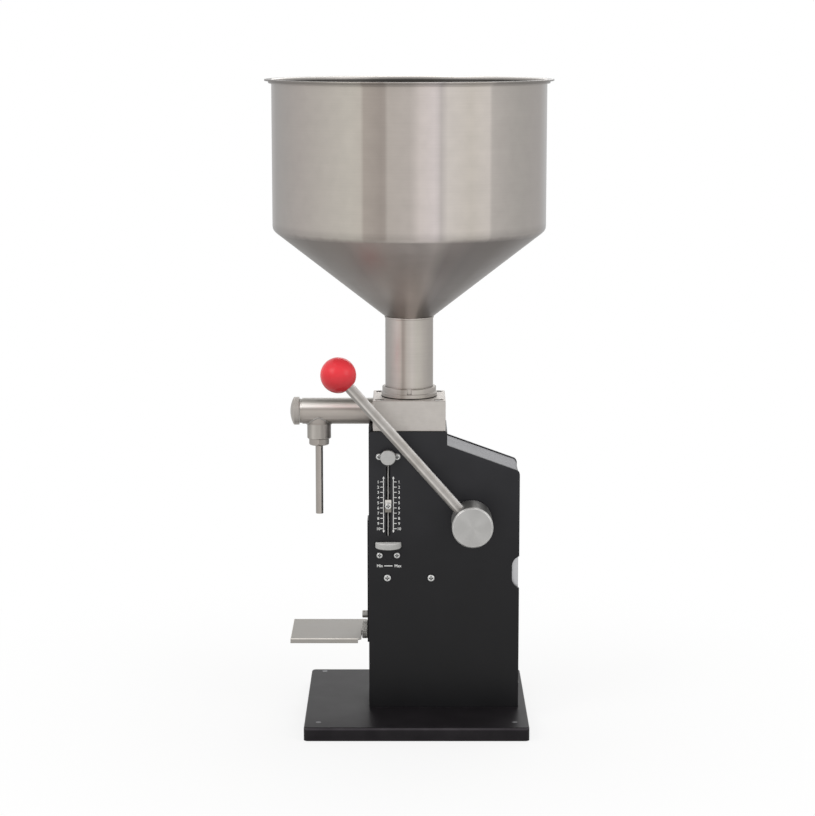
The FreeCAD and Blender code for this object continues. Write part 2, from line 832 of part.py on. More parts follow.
def make_cap_gasket():
    x = tube_end_x - cap_gasket_t
    ring = rod_x(tube_neck_r - 0.2, x, tube_end_x, 0, outlet_z)
    return cut(ring, rod_x(tube_bore_r + 0.1, x, tube_end_x, 0, outlet_z))


def make_outlet_poppet():
    face_x = valve_seat_x - valve_gap
    disc = rod_x(outlet_disc_r, face_x - outlet_disc_t, face_x, 0, outlet_z)
    stem_end = tube_end_x - cap_gasket_t - 3.5 + outlet_lift + 1.0
    stem = rod_x(poppet_stem_r, stem_end, face_x, 0, outlet_z)
    return fuse(disc, stem)


def make_outlet_spring():
    x0 = tube_end_x - cap_gasket_t + cap_spigot + valve_gap
    x1 = valve_seat_x - 2 * valve_gap - outlet_disc_t
    coil = flat_spring_z(spring_r, x0, x1, 6)
    coil.rotate(ORIGIN, Y, 90)
    coil.translate(vec(0, 0, outlet_z))
    return coil


def make_nozzle_nut():
    top = outlet_z - boss_drop
    flats = []
    for k in range(7):
        angle = math.radians(60 * k + 30)
        reach = nozzle_nut_r / math.cos(math.radians(30))
        flats.append(vec(boss_x + reach * math.cos(angle), reach * math.sin(angle), top - nozzle_nut_h))
    hexagon = Part.Face(Part.makePolygon(flats)).extrude(Z * nozzle_nut_h)
    dress = Part.makeCone(nozzle_nut_r - 0.6, nozzle_nut_r - 0.6 + nozzle_nut_h * 2, nozzle_nut_h * 2,
                          vec(boss_x, 0, top - nozzle_nut_h), Z)
    hexagon = hexagon.common(dress)
    spigot = rod_z(boss_bore_r - fit_gap, boss_x, 0, top, top + 5.6)
    nut = fuse(hexagon, spigot)
    return cut(nut, rod_z(nozzle_r + fit_gap, boss_x, 0, top - nozzle_nut_h, top + 5.6))


def make_nozzle():
    top = outlet_z - boss_drop + 5.8 + nozzle_flange_t
    low = outlet_z - boss_drop - nozzle_nut_h - nozzle_drop
    pipe = rod_z(nozzle_r, boss_x, 0, low, top)
    flange = rod_z(boss_bore_r - 0.3, boss_x, 0, top - nozzle_flange_t, top)
    return cut(fuse(pipe, flange), rod_z(nozzle_bore_r, boss_x, 0, low, top))


def make_nozzle_gasket():
    low = outlet_z - boss_drop + 5.9 + nozzle_flange_t
    high = outlet_z - boss_drop + boss_bore_deep - 0.1
    ring = rod_z(boss_bore_r - 0.2, boss_x, 0, low, high)
    return cut(ring, rod_z(nozzle_bore_r, boss_x, 0, low, high))


# Piston group

def make_piston_cylinder():
    tube = rod_z(cylinder_r, 0, 0, cylinder_bottom, cylinder_top)
    flange = rod_z(cylinder_flange_r, 0, 0, body_top - cylinder_flange_t, body_top)
    return cut(fuse(tube, flange), rod_z(dose_bore_r, 0, 0, cylinder_bottom, cylinder_top))


def seal_levels():
    return [piston_top - 1.0 - seal_w, piston_top - 3.0 - 2 * seal_w]


def make_piston():
    body = rod_z(dose_bore_r - piston_gap, 0, 0, piston_bottom, piston_top)
    for z in seal_levels():
        groove = cut(rod_z(dose_bore_r, 0, 0, z, z + seal_w),
                     rod_z(dose_bore_r - piston_gap - seal_deep, 0, 0, z, z + seal_w))
        body = cut(body, groove)
    skirt = cut(rod_z(dose_bore_r - 4.0, 0, 0, piston_bottom, piston_bottom + 6.0),
                rod_z(rod_r + 2.0, 0, 0, piston_bottom, piston_bottom + 6.0))
    return cut(body, skirt, rod_z(rod_r, 0, 0, piston_bottom, piston_bottom + 8.0))


def make_piston_seals():
    rings = []
    for z in seal_levels():
        outer = rod_z(dose_bore_r - running_gap, 0, 0, z + 0.05, z + seal_w - 0.05)
        inner = rod_z(dose_bore_r - piston_gap - seal_deep + fit_gap, 0, 0, z, z + seal_w)
        rings.append(cut(outer, inner))
    return Part.makeCompound(rings)


def make_piston_rod():
    low = pin_z - rod_below_pin - cross_down
    rod = rod_z(rod_r, 0, 0, low, piston_bottom + 8.0)
    foot = edges_where(rod, lambda c, e: abs(c.z - low) < 0.01)
    return rod.makeChamfer(1.0, foot)


def make_crosshead():
    block = box(-cross_half, cross_half, -cross_y, cross_y, pin_z - cross_down, pin_z + cross_up)
    uprights = edges_where(block, lambda c, e: is_straight(e, Z))
    block = block.makeChamfer(1.5, uprights)
    bore = rod_z(rod_r, 0, 0, pin_z - cross_down, pin_z + cross_up)
    pin_seat = rod_y(pin_r, 0, rod_r, cross_y, pin_z)
    split = box(rod_r - 1, cross_half, -0.6, 0.6, pin_z - cross_down, pin_z + cross_up)
    return cut(block, bore, pin_seat, split)


def make_crank_pin():
    pin = rod_y(pin_r, 0, rod_r + 1.2, cross_y + pin_out, pin_z)
    tip = edges_where(pin, lambda c, e: c.y > cross_y + pin_out - 0.01)
    pin = pin.makeChamfer(0.8, tip)
    return cut(pin, rod_z(rod_r, 0, 0, pin_z - pin_r, pin_z + pin_r))


def stop_underside():
    lowest_nut_top = scale_top_z - dial_division * dial_divisions + nut_h / 2
    return lowest_nut_top + stroke


def make_stop_bracket():
    post_x1 = -cylinder_r - 4.0
    post_x0 = post_x1 - stop_bar
    y0 = front_in + 2.0 + wheel_r + 2.5
    y1 = y0 + 10.0
    nose_z = stop_underside()
    foot = box(post_x0, -cross_half, y0, y1 + 6.0, pin_z - 5.0, pin_z + 3.0)
    post = box(post_x0, post_x1, y0, y1, pin_z - 5.0, nose_z + 8.0)
    nose_x1 = dial_x + nut_w / 2
    nose = box(post_x0, nose_x1, nut_rear_y + stop_nose_gap, y1, nose_z, nose_z + 8.0)
    relief = rod_z(cylinder_r + 1.5, 0, 0, nose_z - 1.0, nose_z + 9.0)
    return cut(fuse(foot, post, nose), relief)


def make_rod_guide():
    low = guide_z - guide_h / 2
    high = guide_z + guide_h / 2
    block = box(-guide_w / 2, guide_w / 2, front_in, guide_back + rod_r, low, high)
    corners = edges_where(block, lambda c, e: is_straight(e, Z) and c.y > 0)
    block = block.makeFillet(8.0, corners)
    block = cut(block, rod_z(rod_r + guide_bush_wall + fit_gap, 0, 0, low, high))
    for side in (-1, 1):
        x = side * guide_screw_half
        block = cut(block, rod_y(small_screw_r, x, front_in, front_in + 16.0, guide_z))
    return block


def make_guide_bush():
    low = guide_z - guide_h / 2
    high = guide_z + guide_h / 2
    bush = rod_z(rod_r + guide_bush_wall, 0, 0, low, high)
    return cut(bush, rod_z(rod_r + running_gap, 0, 0, low, high))


def make_guide_screws():
    screws = [screw_y(side * guide_screw_half, guide_z, front, small_screw_r, guide_screw_len,
                      small_head_r + 0.5, small_head_t) for side in (-1, 1)]
    return Part.makeCompound(screws)


# Shaft, crank and lever

def key_box(y0, y1):
    # The key stands above the shaft axis, half in the shaft and half in the crank boss.
    half = key_side / 2
    z = shaft_z + shaft_r
    return box(shaft_x - half, shaft_x + half, y0, y1, z - key_side * 0.58, z + key_side * 0.42)


def make_main_shaft():
    shaft = rod_y(shaft_r, shaft_x, hub_front + 6.0, back - 0.5, shaft_z)
    ends = edges_where(shaft, lambda c, e: abs(c.y - (back - 0.5)) < 0.01)
    shaft = shaft.makeChamfer(1.0, ends)
    return cut(shaft, key_box(crank_y, crank_y + crank_t))


def make_crank_key():
    return key_box(crank_y + 0.2, crank_y + crank_t - 0.2)


def make_crank_arm():
    y0 = crank_y
    y1 = crank_y + crank_t
    tip_x = shaft_x - pin_far - 0.7
    boss = rod_y(crank_boss_r, shaft_x, y0, y1, shaft_z)
    tip = rod_y(crank_tip_r, tip_x, y0, y1, shaft_z)
    wide = crank_boss_r * 0.72
    blade = prism_y([(shaft_x, shaft_z - wide), (shaft_x, shaft_z + wide),
                     (tip_x, shaft_z + crank_tip_r), (tip_x, shaft_z - crank_tip_r)], y0, y1)
    arm = fuse(boss, tip, blade)
    half = pin_r + slot_slack
    slot_x1 = slot_slack
    slot = box(tip_x, slot_x1, y0, y1, shaft_z - half, shaft_z + half)
    ends = [rod_y(half, x, y0, y1, shaft_z) for x in (tip_x, slot_x1)]
    arm = cut(arm, slot, rod_y(shaft_r + fit_gap, shaft_x, y0, y1, shaft_z), *ends)
    arm = about_shaft(arm, half_swing)
    return cut(arm, key_box(y0, y1))


def make_set_collar():
    y0 = -crank_y - set_collar_w
    ring = rod_y(set_collar_r, shaft_x, y0, y0 + set_collar_w, shaft_z)
    ring = ring.makeChamfer(0.8, edges_where(ring, lambda c, e: e.Curve.TypeId == "Part::GeomCircle"))
    ring = cut(ring, rod_y(shaft_r + fit_gap, shaft_x, y0, y0 + set_collar_w, shaft_z))
    mid = y0 + set_collar_w / 2
    return cut(ring, rod_z(2.5, shaft_x, mid, shaft_z, shaft_z + set_collar_r))


def make_bearing(side):
    # Housing ring inside a side panel, and the flanged bush pressed through it.
    face = side * back_in
    inner = side * (back_in - housing_t)
    lip = side * (back_in - housing_t - bush_flange_t)
    outer = side * back
    y0, y1 = sorted((face, inner))
    bush_r = shaft_r + bush_wall
    housing = cut(rod_y(housing_r, shaft_x, y0, y1, shaft_z),
                  rod_y(bush_r + fit_gap, shaft_x, y0, y1, shaft_z))
    b0, b1 = sorted((outer, lip))
    f0, f1 = sorted((inner, lip))
    bush = fuse(rod_y(bush_r, shaft_x, b0, b1, shaft_z),
                rod_y(bush_r + bush_flange, shaft_x, f0, f1, shaft_z))
    bush = cut(bush, rod_y(shaft_r + running_gap, shaft_x, b0, b1, shaft_z))
    return housing, bush


def make_lever_hub():
    hub = rod_y(hub_r, shaft_x, hub_front, hub_back, shaft_z)
    rims = edges_where(hub, lambda c, e: abs(c.y - hub_front) < 0.01)
    hub = hub.makeChamfer(hub_edge, rims)
    hub = cut(hub, rod_y(shaft_r + fit_gap, shaft_x, hub_front + 6.0, hub_back, shaft_z))
    lever_hole = rod_x(lever_r, shaft_x - hub_r - 2, shaft_x - lever_in_hub, lever_y, shaft_z)
    screw_hole = rod_x(3.0, shaft_x, shaft_x + hub_r + 2, lever_y, shaft_z)
    return cut(hub, about_shaft(lever_hole, lever_angle), about_shaft(screw_hole, lever_angle))


def make_hub_set_screw():
    screw = rod_x(3.0, shaft_x + shaft_r + 0.1, shaft_x + hub_r - 1.5, lever_y, shaft_z)
    socket = rod_x(1.5, shaft_x + hub_r - 5.0, shaft_x + hub_r, lever_y, shaft_z)
    return about_shaft(cut(screw, socket), lever_angle)


def make_lever_rod():
    ball_end = shaft_x - lever_len + ball_r - ball_flat - lever_in_ball
    rod = rod_x(lever_r, ball_end, shaft_x - lever_in_hub - 0.2, lever_y, shaft_z)
    return about_shaft(rod, lever_angle)


def make_ball_knob():
    centre = shaft_x - lever_len
    ball = Part.makeSphere(ball_r, vec(centre, lever_y, shaft_z))
    flat_x = centre + ball_r - ball_flat
    ball = cut(ball, box(flat_x, flat_x + ball_r, lever_y - ball_r, lever_y + ball_r,
                         shaft_z - ball_r, shaft_z + ball_r))
    bore = rod_x(lever_r + fit_gap, flat_x - lever_in_ball - 0.5, flat_x, lever_y, shaft_z)
    return about_shaft(cut(ball, bore), lever_angle)


# Dose dial

def make_lead_screw():
    low = low_bearing_z - low_bearing_nose + 1.5
    return rod_z(dial_r, dial_x, dial_y, low, top_bearing_z - 0.5)


def make_thumbwheel():
    low = wheel_z - wheel_t / 2
    wheel = rod_z(wheel_r, dial_x, dial_y, low, low + wheel_t)
    rims = edges_where(wheel, lambda c, e: e.Curve.TypeId == "Part::GeomCircle")
    wheel = wheel.makeChamfer(0.5, rims)
    return cut(wheel, rod_z(dial_r + fit_gap, dial_x, dial_y, low, low + wheel_t))


def make_top_bearing():
    y_cap = front - cap_neck
    cap = rod_y(cap_r, dial_x, y_cap - cap_t, y_cap, top_bearing_z)
    rim = edges_where(cap, lambda c, e: abs(c.y - (y_cap - cap_t)) < 0.01)
    cap = cap.makeChamfer(0.6, rim)
    neck = rod_y(cap_neck_r, dial_x, y_cap, dial_y + dial_r + 2.5, top_bearing_z)
    bar = box(dial_x - ear_half, dial_x + ear_half, front - ear_t, front,
              top_bearing_z - ear_r, top_bearing_z + ear_r)
    body = fuse(cap, neck, bar)
    for side in (-1, 1):
        body = fuse(body, rod_y(ear_r, dial_x + side * ear_half, front - ear_t, front, top_bearing_z))
    for side in (-1, 1):
        hole = rod_y(small_screw_r, dial_x + side * ear_half, front - ear_t, front, top_bearing_z)
        body = cut(body, hole)
    bore = rod_z(dial_r + running_gap, dial_x, dial_y, top_bearing_z - cap_neck_r - 1, top_bearing_z)
    return cut(body, bore)


def make_top_bearing_screws():
    screws = [screw_y(dial_x + side * ear_half, top_bearing_z, front - ear_t, small_screw_r, 9.0,
                      small_head_r, small_head_t) for side in (-1, 1)]
    return Part.makeCompound(screws)


def make_low_bearing():
    low = low_bearing_z - low_bearing_h / 2
    high = wheel_z - wheel_t / 2 - side_gap
    block = box(dial_x - low_bearing_half, dial_x + low_bearing_half,
                front_in, front_in + low_bearing_t, low, high)
    nose = box(dial_x - low_bearing_nose, dial_x + low_bearing_nose, front, front_in + 1.0,
               low_bearing_z - low_bearing_nose, high)
    body = fuse(block, nose)
    bore = rod_z(dial_r + running_gap, dial_x, dial_y, low_bearing_z - low_bearing_nose + 1.3, high)
    for side in (-1, 1):
        x = dial_x + side * low_screw_half
        body = cut(body, rod_y(small_screw_r, x, front_in, front_in + 6.0, low_bearing_z))
    return cut(body, bore)


def make_low_bearing_screws():
    screws = [screw_y(dial_x + side * low_screw_half, low_bearing_z, front, small_screw_r,
                      panel_t + 5.5, small_head_r, small_head_t) for side in (-1, 1)]
    return Part.makeCompound(screws)


def make_volume_nut():
    half = nut_w / 2
    neck = nut_neck_w / 2
    low = pointer_z - nut_h / 2
    high = pointer_z + nut_h / 2
    face = front - nut_gap
    pointer = box(dial_x - half, dial_x + half, front - nut_front, face, low, high)
    waist = box(dial_x - neck, dial_x + neck, face, front_in + nut_gap, low, high)
    heel = box(dial_x - half, dial_x + half, front_in + nut_gap, nut_rear_y, low, high)
    body = fuse(pointer, waist, heel)
    bore = rod_z(dial_r + running_gap, dial_x, dial_y, low, high)
    screw_hole = rod_y(1.0, dial_x, front - nut_front, dial_y - dial_r, pointer_z)
    return cut(body, bore, screw_hole)


def make_nut_lock_screw():
    return screw_y(dial_x, pointer_z, front - nut_front, 1.0, nut_front + dial_inset - dial_r - 0.1,
                   nut_screw_r, 1.6)


# Bottle tray

def make_tray_plate():
    half = tray_depth / 2
    x0 = tray_outer_x
    x1 = tray_inner_x
    corner = tray_lip_end_x
    low = tray_top_z - tray_t
    cut_back = x1 - corner
    wall_x = guide_out - side_gap
    sheet = outline_face([vec(x0, -half, low), vec(corner, -half, low), vec(x1, -half + cut_back, low),
                          vec(x1, tray_tongue, low), vec(wall_x, tray_tongue, low),
                          vec(wall_x, half - cut_back, low), vec(wall_x - cut_back, half, low),
                          vec(x0, half, low)])
    plate = sheet.extrude(Z * tray_t)
    tab = box(x1 - tray_tab, x1, -6.0, 6.0, tray_mid_z - 6.0, low)
    lip_low = tray_top_z - tray_lip
    lips = [box(x0, corner, -half, -half + tray_t, lip_low, tray_top_z),
            box(x0, corner, half - tray_t, half, lip_low, tray_top_z),
            box(x0, x0 + tray_t, -half, half, lip_low, tray_top_z)]
    tray = fuse(plate, tab, *lips)
    outer = edges_where(tray, lambda c, e: abs(c.z - tray_top_z) < 0.01 and c.x < corner - 1)
    return tray.makeFillet(0.9, outer)


def make_tray_stud():
    inner = body_left + wall_t + side_gap + tray_bar_t
    stud = rod_x(tray_stud_r, tray_inner_x, inner, 0, tray_mid_z)
    ends = edges_where(stud, lambda c, e: e.Curve.TypeId == "Part::GeomCircle")
    return stud.makeChamfer(0.8, ends)


def make_tray_guide_pin():
    z = tray_mid_z + tray_pin_rise
    face = guide_out - side_gap
    head = rod_x(tray_pin_head_r, face - 6.0, face, 0, z)
    head = head.makeChamfer(0.6, edges_where(head, lambda c, e: c.x < face - 5.9))
    hexagon = Part.makePolygon([vec(face - 6.0, 2.6 * math.cos(math.radians(60 * k)),
                                    z + 2.6 * math.sin(math.radians(60 * k))) for k in range(7)])
    socket = Part.Face(hexagon).extrude(X * 3.0)
    shank = rod_x(tray_pin_r, face, body_left + wall_t + side_gap + tray_bar_t, 0, z)
    return cut(fuse(head, shank), socket)


def make_tray_inner_bar():
    x0 = body_left + wall_t + side_gap
    x1 = x0 + tray_bar_t
    low = tray_mid_z - 7.0
    high = tray_mid_z + tray_pin_rise + 7.0
    bar = box(x0, x1, -tray_bar_half, tray_bar_half, low, high)
    bar = bar.makeFillet(2.0, edges_where(bar, lambda c, e: is_straight(e, X)))
    return cut(bar, rod_x(tray_stud_r, x0, x1, 0, tray_mid_z),
               rod_x(tray_pin_r, x0, x1, 0, tray_mid_z + tray_pin_rise))


def make_tray_nut():
    x1 = guide_out - side_gap
    x0 = x1 - tray_nut_w
    ring = rod_x(tray_nut_r, x0, x1, 0, tray_mid_z)
    rims = edges_where(ring, lambda c, e: e.Curve.TypeId == "Part::GeomCircle")
    ring = ring.makeChamfer(0.6, rims)
    for angle in range(0, 360, 15):
        groove = rod_x(0.7, x0 - 1, x1 + 1, 0, tray_mid_z + tray_nut_r + 0.2)
        groove.rotate(vec(0, 0, tray_mid_z), X, angle)
        ring = cut(ring, groove)
    return cut(ring, rod_x(tray_stud_r + running_gap, x0, x1, 0, tray_mid_z))


def together(*shapes):
    return Part.makeCompound([solid for shape in shapes for solid in shape.Solids])


def all_nodes():
    front_housing, front_bush = make_bearing(-1)
    far_housing, far_bush = make_bearing(1)
    return {
        "base_plate": make_base_plate(),
        "foot_pads": make_foot_pads(),
        "base_screws": together(make_base_screws(), make_body_bolts()),
        "base_angles": make_base_angles(),
        "front_panel": make_front_panel(),
        "far_panel": make_far_panel(),
        "nozzle_side_wall": make_nozzle_side_wall(),
        "tray_guide_plate": make_tray_guide_plate(),
        "wall_screws": together(make_guide_plate_screws(), make_rear_cover_screws()),
        "top_deck": make_top_deck(),
        "rear_cover": make_rear_cover(),
        "cross_bars": make_cross_bars(),
        "valve_block": make_valve_block(),
        "block_bolts": make_block_bolts(),
        "collar": make_collar(),
        "neck_gasket": make_neck_gasket(),
        "hopper_neck": make_hopper_neck(),
        "hopper_bowl": make_hopper_bowl(),
        "valve_spider": make_valve_spider(),
        "inlet_poppet": make_inlet_poppet(),
        "inlet_spring": make_inlet_spring(),
        "discharge_tube": make_discharge_tube(),
        "end_cap": make_end_cap(),
        "cap_gasket": make_cap_gasket(),
        "outlet_poppet": make_outlet_poppet(),
        "outlet_spring": make_outlet_spring(),
        "nozzle_nut": make_nozzle_nut(),
        "nozzle": make_nozzle(),
        "nozzle_gasket": make_nozzle_gasket(),
        "piston_cylinder": make_piston_cylinder(),
        "piston": make_piston(),
        "piston_seals": make_piston_seals(),
        "piston_rod": make_piston_rod(),
        "crosshead": make_crosshead(),
        "crank_pin": make_crank_pin(),
        "stop_bracket": make_stop_bracket(),
        "rod_guide": make_rod_guide(),
        "guide_bush": make_guide_bush(),
        "main_shaft": make_main_shaft(),
        "crank_key": make_crank_key(),
        "crank_arm": make_crank_arm(),
        "set_collar": make_set_collar(),
        "bearing_housings": together(front_housing, far_housing),
        "shaft_bushes": together(front_bush, far_bush),
        "lever_hub": make_lever_hub(),
        "hub_set_screw": make_hub_set_screw(),
        "lever_rod": make_lever_rod(),
        "ball_knob": make_ball_knob(),
        "lead_screw": make_lead_screw(),
        "thumbwheel": make_thumbwheel(),
        "top_bearing": make_top_bearing(),
        "panel_screws": together(make_top_bearing_screws(), make_low_bearing_screws(),
                                 make_guide_screws()),
        "low_bearing": make_low_bearing(),
        "volume_nut": make_volume_nut(),
        "nut_lock_screw": make_nut_lock_screw(),
        "tray_plate": make_tray_plate(),
        "tray_stud": make_tray_stud(),
        "tray_guide_pin": make_tray_guide_pin(),
        "tray_inner_bar": make_tray_inner_bar(),
        "tray_nut": make_tray_nut(),
    }


os.makedirs("parts", exist_ok=True)
nodes = all_nodes()
for name, shape in nodes.items():
    shape.exportStep(os.path.join("parts", name + ".step"))
    print(name, len(shape.Solids), round(shape.Volume), shape.isValid())
print(len(nodes), "nodes; half swing", round(half_swing, 3), "degrees; rim at", round(rim_top, 2))
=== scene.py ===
import json
import math

import bmesh
import bpy
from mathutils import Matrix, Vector


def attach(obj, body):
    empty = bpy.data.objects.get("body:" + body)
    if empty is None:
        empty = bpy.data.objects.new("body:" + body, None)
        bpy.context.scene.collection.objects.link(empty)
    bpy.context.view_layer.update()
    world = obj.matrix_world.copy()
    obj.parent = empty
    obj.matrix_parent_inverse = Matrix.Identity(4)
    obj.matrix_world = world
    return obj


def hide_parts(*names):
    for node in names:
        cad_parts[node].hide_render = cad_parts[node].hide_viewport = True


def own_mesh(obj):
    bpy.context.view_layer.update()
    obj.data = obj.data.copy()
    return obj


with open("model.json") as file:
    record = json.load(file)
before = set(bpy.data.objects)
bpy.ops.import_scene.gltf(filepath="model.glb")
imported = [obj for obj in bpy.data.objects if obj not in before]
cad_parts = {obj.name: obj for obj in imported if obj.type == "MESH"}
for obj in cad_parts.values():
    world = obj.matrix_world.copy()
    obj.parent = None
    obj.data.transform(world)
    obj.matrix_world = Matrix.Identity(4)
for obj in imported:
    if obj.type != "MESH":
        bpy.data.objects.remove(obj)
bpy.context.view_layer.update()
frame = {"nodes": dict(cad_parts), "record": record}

nodes = frame["nodes"]
mm = 0.001
print("frame loaded,", len(nodes), "nodes")

# a colour mix node has sockets of one name for numbers, vectors and colours, so its colour
# sockets go by number
mixFirst, mixSecond, mixResult = 6, 7, 2


def toLinear(hexColour):
    channels = [int(hexColour[i:i + 2], 16) / 255 for i in (1, 3, 5)]
    return [c / 12.92 if c <= 0.04045 else ((c + 0.055) / 1.055) ** 2.4 for c in channels] + [1.0]


def addNode(tree, kind, links=None, stops=None, **settings):
    node = tree.nodes.new(kind)
    for name, value in settings.items():
        setattr(node, name, value)
    if stops:
        elements = node.color_ramp.elements
        while len(elements) < len(stops):
            elements.new(0.5)
        for element, (place, colour) in zip(elements, stops):
            element.position = place
            element.color = toLinear(colour)
    for socket, value in (links or {}).items():
        if isinstance(value, bpy.types.NodeSocket):
            tree.links.new(value, node.inputs[socket])
        else:
            node.inputs[socket].default_value = value
    return node


def tonesAlong(tree, measure, low, high, stops):
    # colours read along a measure that runs from low to high
    share = addNode(tree, "ShaderNodeMapRange", {"Value": measure, "From Min": low,
                                                 "From Max": high})
    return addNode(tree, "ShaderNodeValToRGB", {"Fac": share.outputs[0]}, stops=stops).outputs[0]


def startMaterial(name, **sockets):
    material = bpy.data.materials.new(name)
    material.use_nodes = True
    tree = material.node_tree
    tree.nodes.clear()
    shader = addNode(tree, "ShaderNodeBsdfPrincipled", sockets)
    addNode(tree, "ShaderNodeOutputMaterial", {"Surface": shader.outputs[0]})
    return material, tree, shader


def finishMesh(name, mesh, sharpAngle=38):
    bmesh.ops.recalc_face_normals(mesh, faces=mesh.faces)
    data = bpy.data.meshes.new(name)
    mesh.to_mesh(data)
    mesh.free()
    data.shade_smooth()
    data.set_sharp_from_angle(angle=math.radians(sharpAngle))
    piece = bpy.data.objects.new(name, data)
    bpy.context.scene.collection.objects.link(piece)
    return piece


def softened(profile, steps=3, mostCut=0.48):
    # each (radius, height, cut) corner is rounded, cut being how far back along both sides it starts
    points = []
    for i, corner in enumerate(profile):
        here = Vector(corner[:2])
        before = Vector(profile[i - 1][:2]) - here
        after = Vector(profile[(i + 1) % len(profile)][:2]) - here
        cut = corner[2] if len(corner) > 2 else 0
        cut = min(cut, before.length * mostCut, after.length * mostCut)
        if cut <= 0:
            points.append(here)
            continue
        a = here + before.normalized() * cut
        b = here + after.normalized() * cut
        for k in range(steps + 1):
            t = k / steps
            points.append(a * (1 - t) ** 2 + here * 2 * t * (1 - t) + b * t ** 2)
    return points


def turned(name, profile, centre, direction, segments=128, flutes=None, onAxis=1e-6):
    # a closed outline of (radius, height) in mm, spun about a line through centre
    turn = Vector((0, 0, 1)).rotation_difference(Vector(direction)).to_matrix()
    origin = Vector(centre)
    mesh = bmesh.new()
    rings = []
    for radius, height in softened(profile):
        if radius < onAxis:
            rings.append([mesh.verts.new((origin + turn @ Vector((0, 0, height))) * mm)])
            continue
        ring = []
        for k in range(segments):
            angle = 2 * math.pi * k / segments
            r = radius
            if flutes and radius > flutes["from"]:
                r = radius - flutes["depth"] * (0.5 - 0.5 * math.cos(angle * flutes["count"]))
            spot = Vector((r * math.cos(angle), r * math.sin(angle), height))
            ring.append(mesh.verts.new((origin + turn @ spot) * mm))
        rings.append(ring)
    for a, b in zip(rings, rings[1:] + rings[:1]):
        for k in range(segments):
            n = (k + 1) % segments
            if len(a) == 1 and len(b) == 1:
                break
            if len(a) == 1:
                corners = [a[0], b[k], b[n]]
            elif len(b) == 1:
                corners = [a[k], b[0], a[n]]
            else:
                corners = [a[k], b[k], b[n], a[n]]
            mesh.faces.new(corners)
    return finishMesh(name, mesh)


roundWire = {"sides": 8, "skew": (0.31, 0.23, 0.92), "dropLength": 6, "sharp": 80}


def roundAlong(name, path, radius, ripple=0, closed=False):
    # a round wire or bead along path (mm); a bead is rippled where each drop of metal set.
    # The skew is a direction that no path here runs along.
    sides = roundWire["sides"]
    turns = [2 * math.pi * k / sides for k in range(sides)]
    mesh = bmesh.new()
    count = len(path)
    rings = []
    for i in range(count):
        if closed:
            before, after = i - 1, (i + 1) % count
        else:
            before, after = max(i - 1, 0), min(i + 1, count - 1)
        along = (path[after] - path[before]).normalized()
        side = along.cross(Vector(roundWire["skew"])).normalized()
        over = along.cross(side)
        r = radius * (1 + ripple * math.sin(i * 2 * math.pi / roundWire["dropLength"]))
        rings.append([mesh.verts.new((path[i] + side * r * math.cos(a) + over * r * math.sin(a))
                                     * mm) for a in turns])
    for a, b in zip(rings, rings[1:] + (rings[:1] if closed else [])):
        for k in range(sides):
            n = (k + 1) % sides
            mesh.faces.new([a[k], b[k], b[n], a[n]])
    if not closed:
        mesh.faces.new(rings[0][::-1])
        mesh.faces.new(rings[-1])
    return finishMesh(name, mesh, roundWire["sharp"])


def dress(piece, material, body, slot, *replaced):
    piece.data.materials.clear()
    piece.data.materials.append(material)
    if replaced:
        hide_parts(*replaced)
    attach(piece, body)
    return piece


camera = {"lens": 101.595, "sensor": 36, "far": 60, "place": (-0.0019, -2.5256, 0.7703),
          "tilt": 80.5265}
eye = bpy.data.objects.new("photoCamera", bpy.data.cameras.new("photoCamera"))
eye.data.sensor_fit = "HORIZONTAL"
eye.data.sensor_width = camera["sensor"]
eye.data.lens = camera["lens"]
eye.data.clip_end = camera["far"]
eye.location = camera["place"]
eye.rotation_euler = (math.radians(camera["tilt"]), 0, 0)
bpy.context.scene.collection.objects.link(eye)
bpy.context.scene.camera = eye
bpy.context.scene.view_settings.view_transform = "Standard"

lampsAimAt = (0, 0, 0.38)
lamps = {
    "keySoftbox": {"place": (-1.9, -1.7, 2.1), "size": (1.5, 1.5), "watts": 22},
    "fillSoftbox": {"place": (2.1, -1.5, 1.4), "size": (1.2, 1.5), "watts": 12},
    "topSoftbox": {"place": (0.0, 0.2, 2.7), "size": (1.8, 1.8), "watts": 22},
    "backSoftbox": {"place": (0.6, 2.3, 1.7), "size": (1.6, 1.2), "watts": 10},
}
for name, lamp in lamps.items():
    light = bpy.data.lights.new(name, "AREA")
    light.shape = "RECTANGLE"
    light.size, light.size_y = lamp["size"]
    light.energy = lamp["watts"]
    holder = bpy.data.objects.new(name, light)
    holder.location = lamp["place"]
    aim = Vector(lampsAimAt) - Vector(lamp["place"])
    holder.rotation_euler = aim.to_track_quat("-Z", "Y").to_euler()
    bpy.context.scene.collection.objects.link(holder)

# the surround is full white where it is seen, also in a mirror, and weaker as a light
surround = {"colour": "#FFFFFF", "seen": 1.0, "light": 0.55}
world = bpy.data.worlds.new("paleStudio")
bpy.context.scene.world = world
world.use_nodes = True
tree = world.node_tree
tree.nodes.clear()
rays = addNode(tree, "ShaderNodeLightPath").outputs
seen = rays["Is Camera Ray"]
for kind in ("Is Glossy Ray", "Is Transmission Ray"):
    seen = addNode(tree, "ShaderNodeMath", {0: seen, 1: rays[kind]}, operation="MAXIMUM").outputs[0]
strength = addNode(tree, "ShaderNodeMapRange", {"Value": seen, "To Min": surround["light"],
                                                "To Max": surround["seen"]})
sky = addNode(tree, "ShaderNodeBackground", {"Color": toLinear(surround["colour"]),
                                             "Strength": strength.outputs[0]})
addNode(tree, "ShaderNodeOutputWorld", {"Surface": sky.outputs[0]})

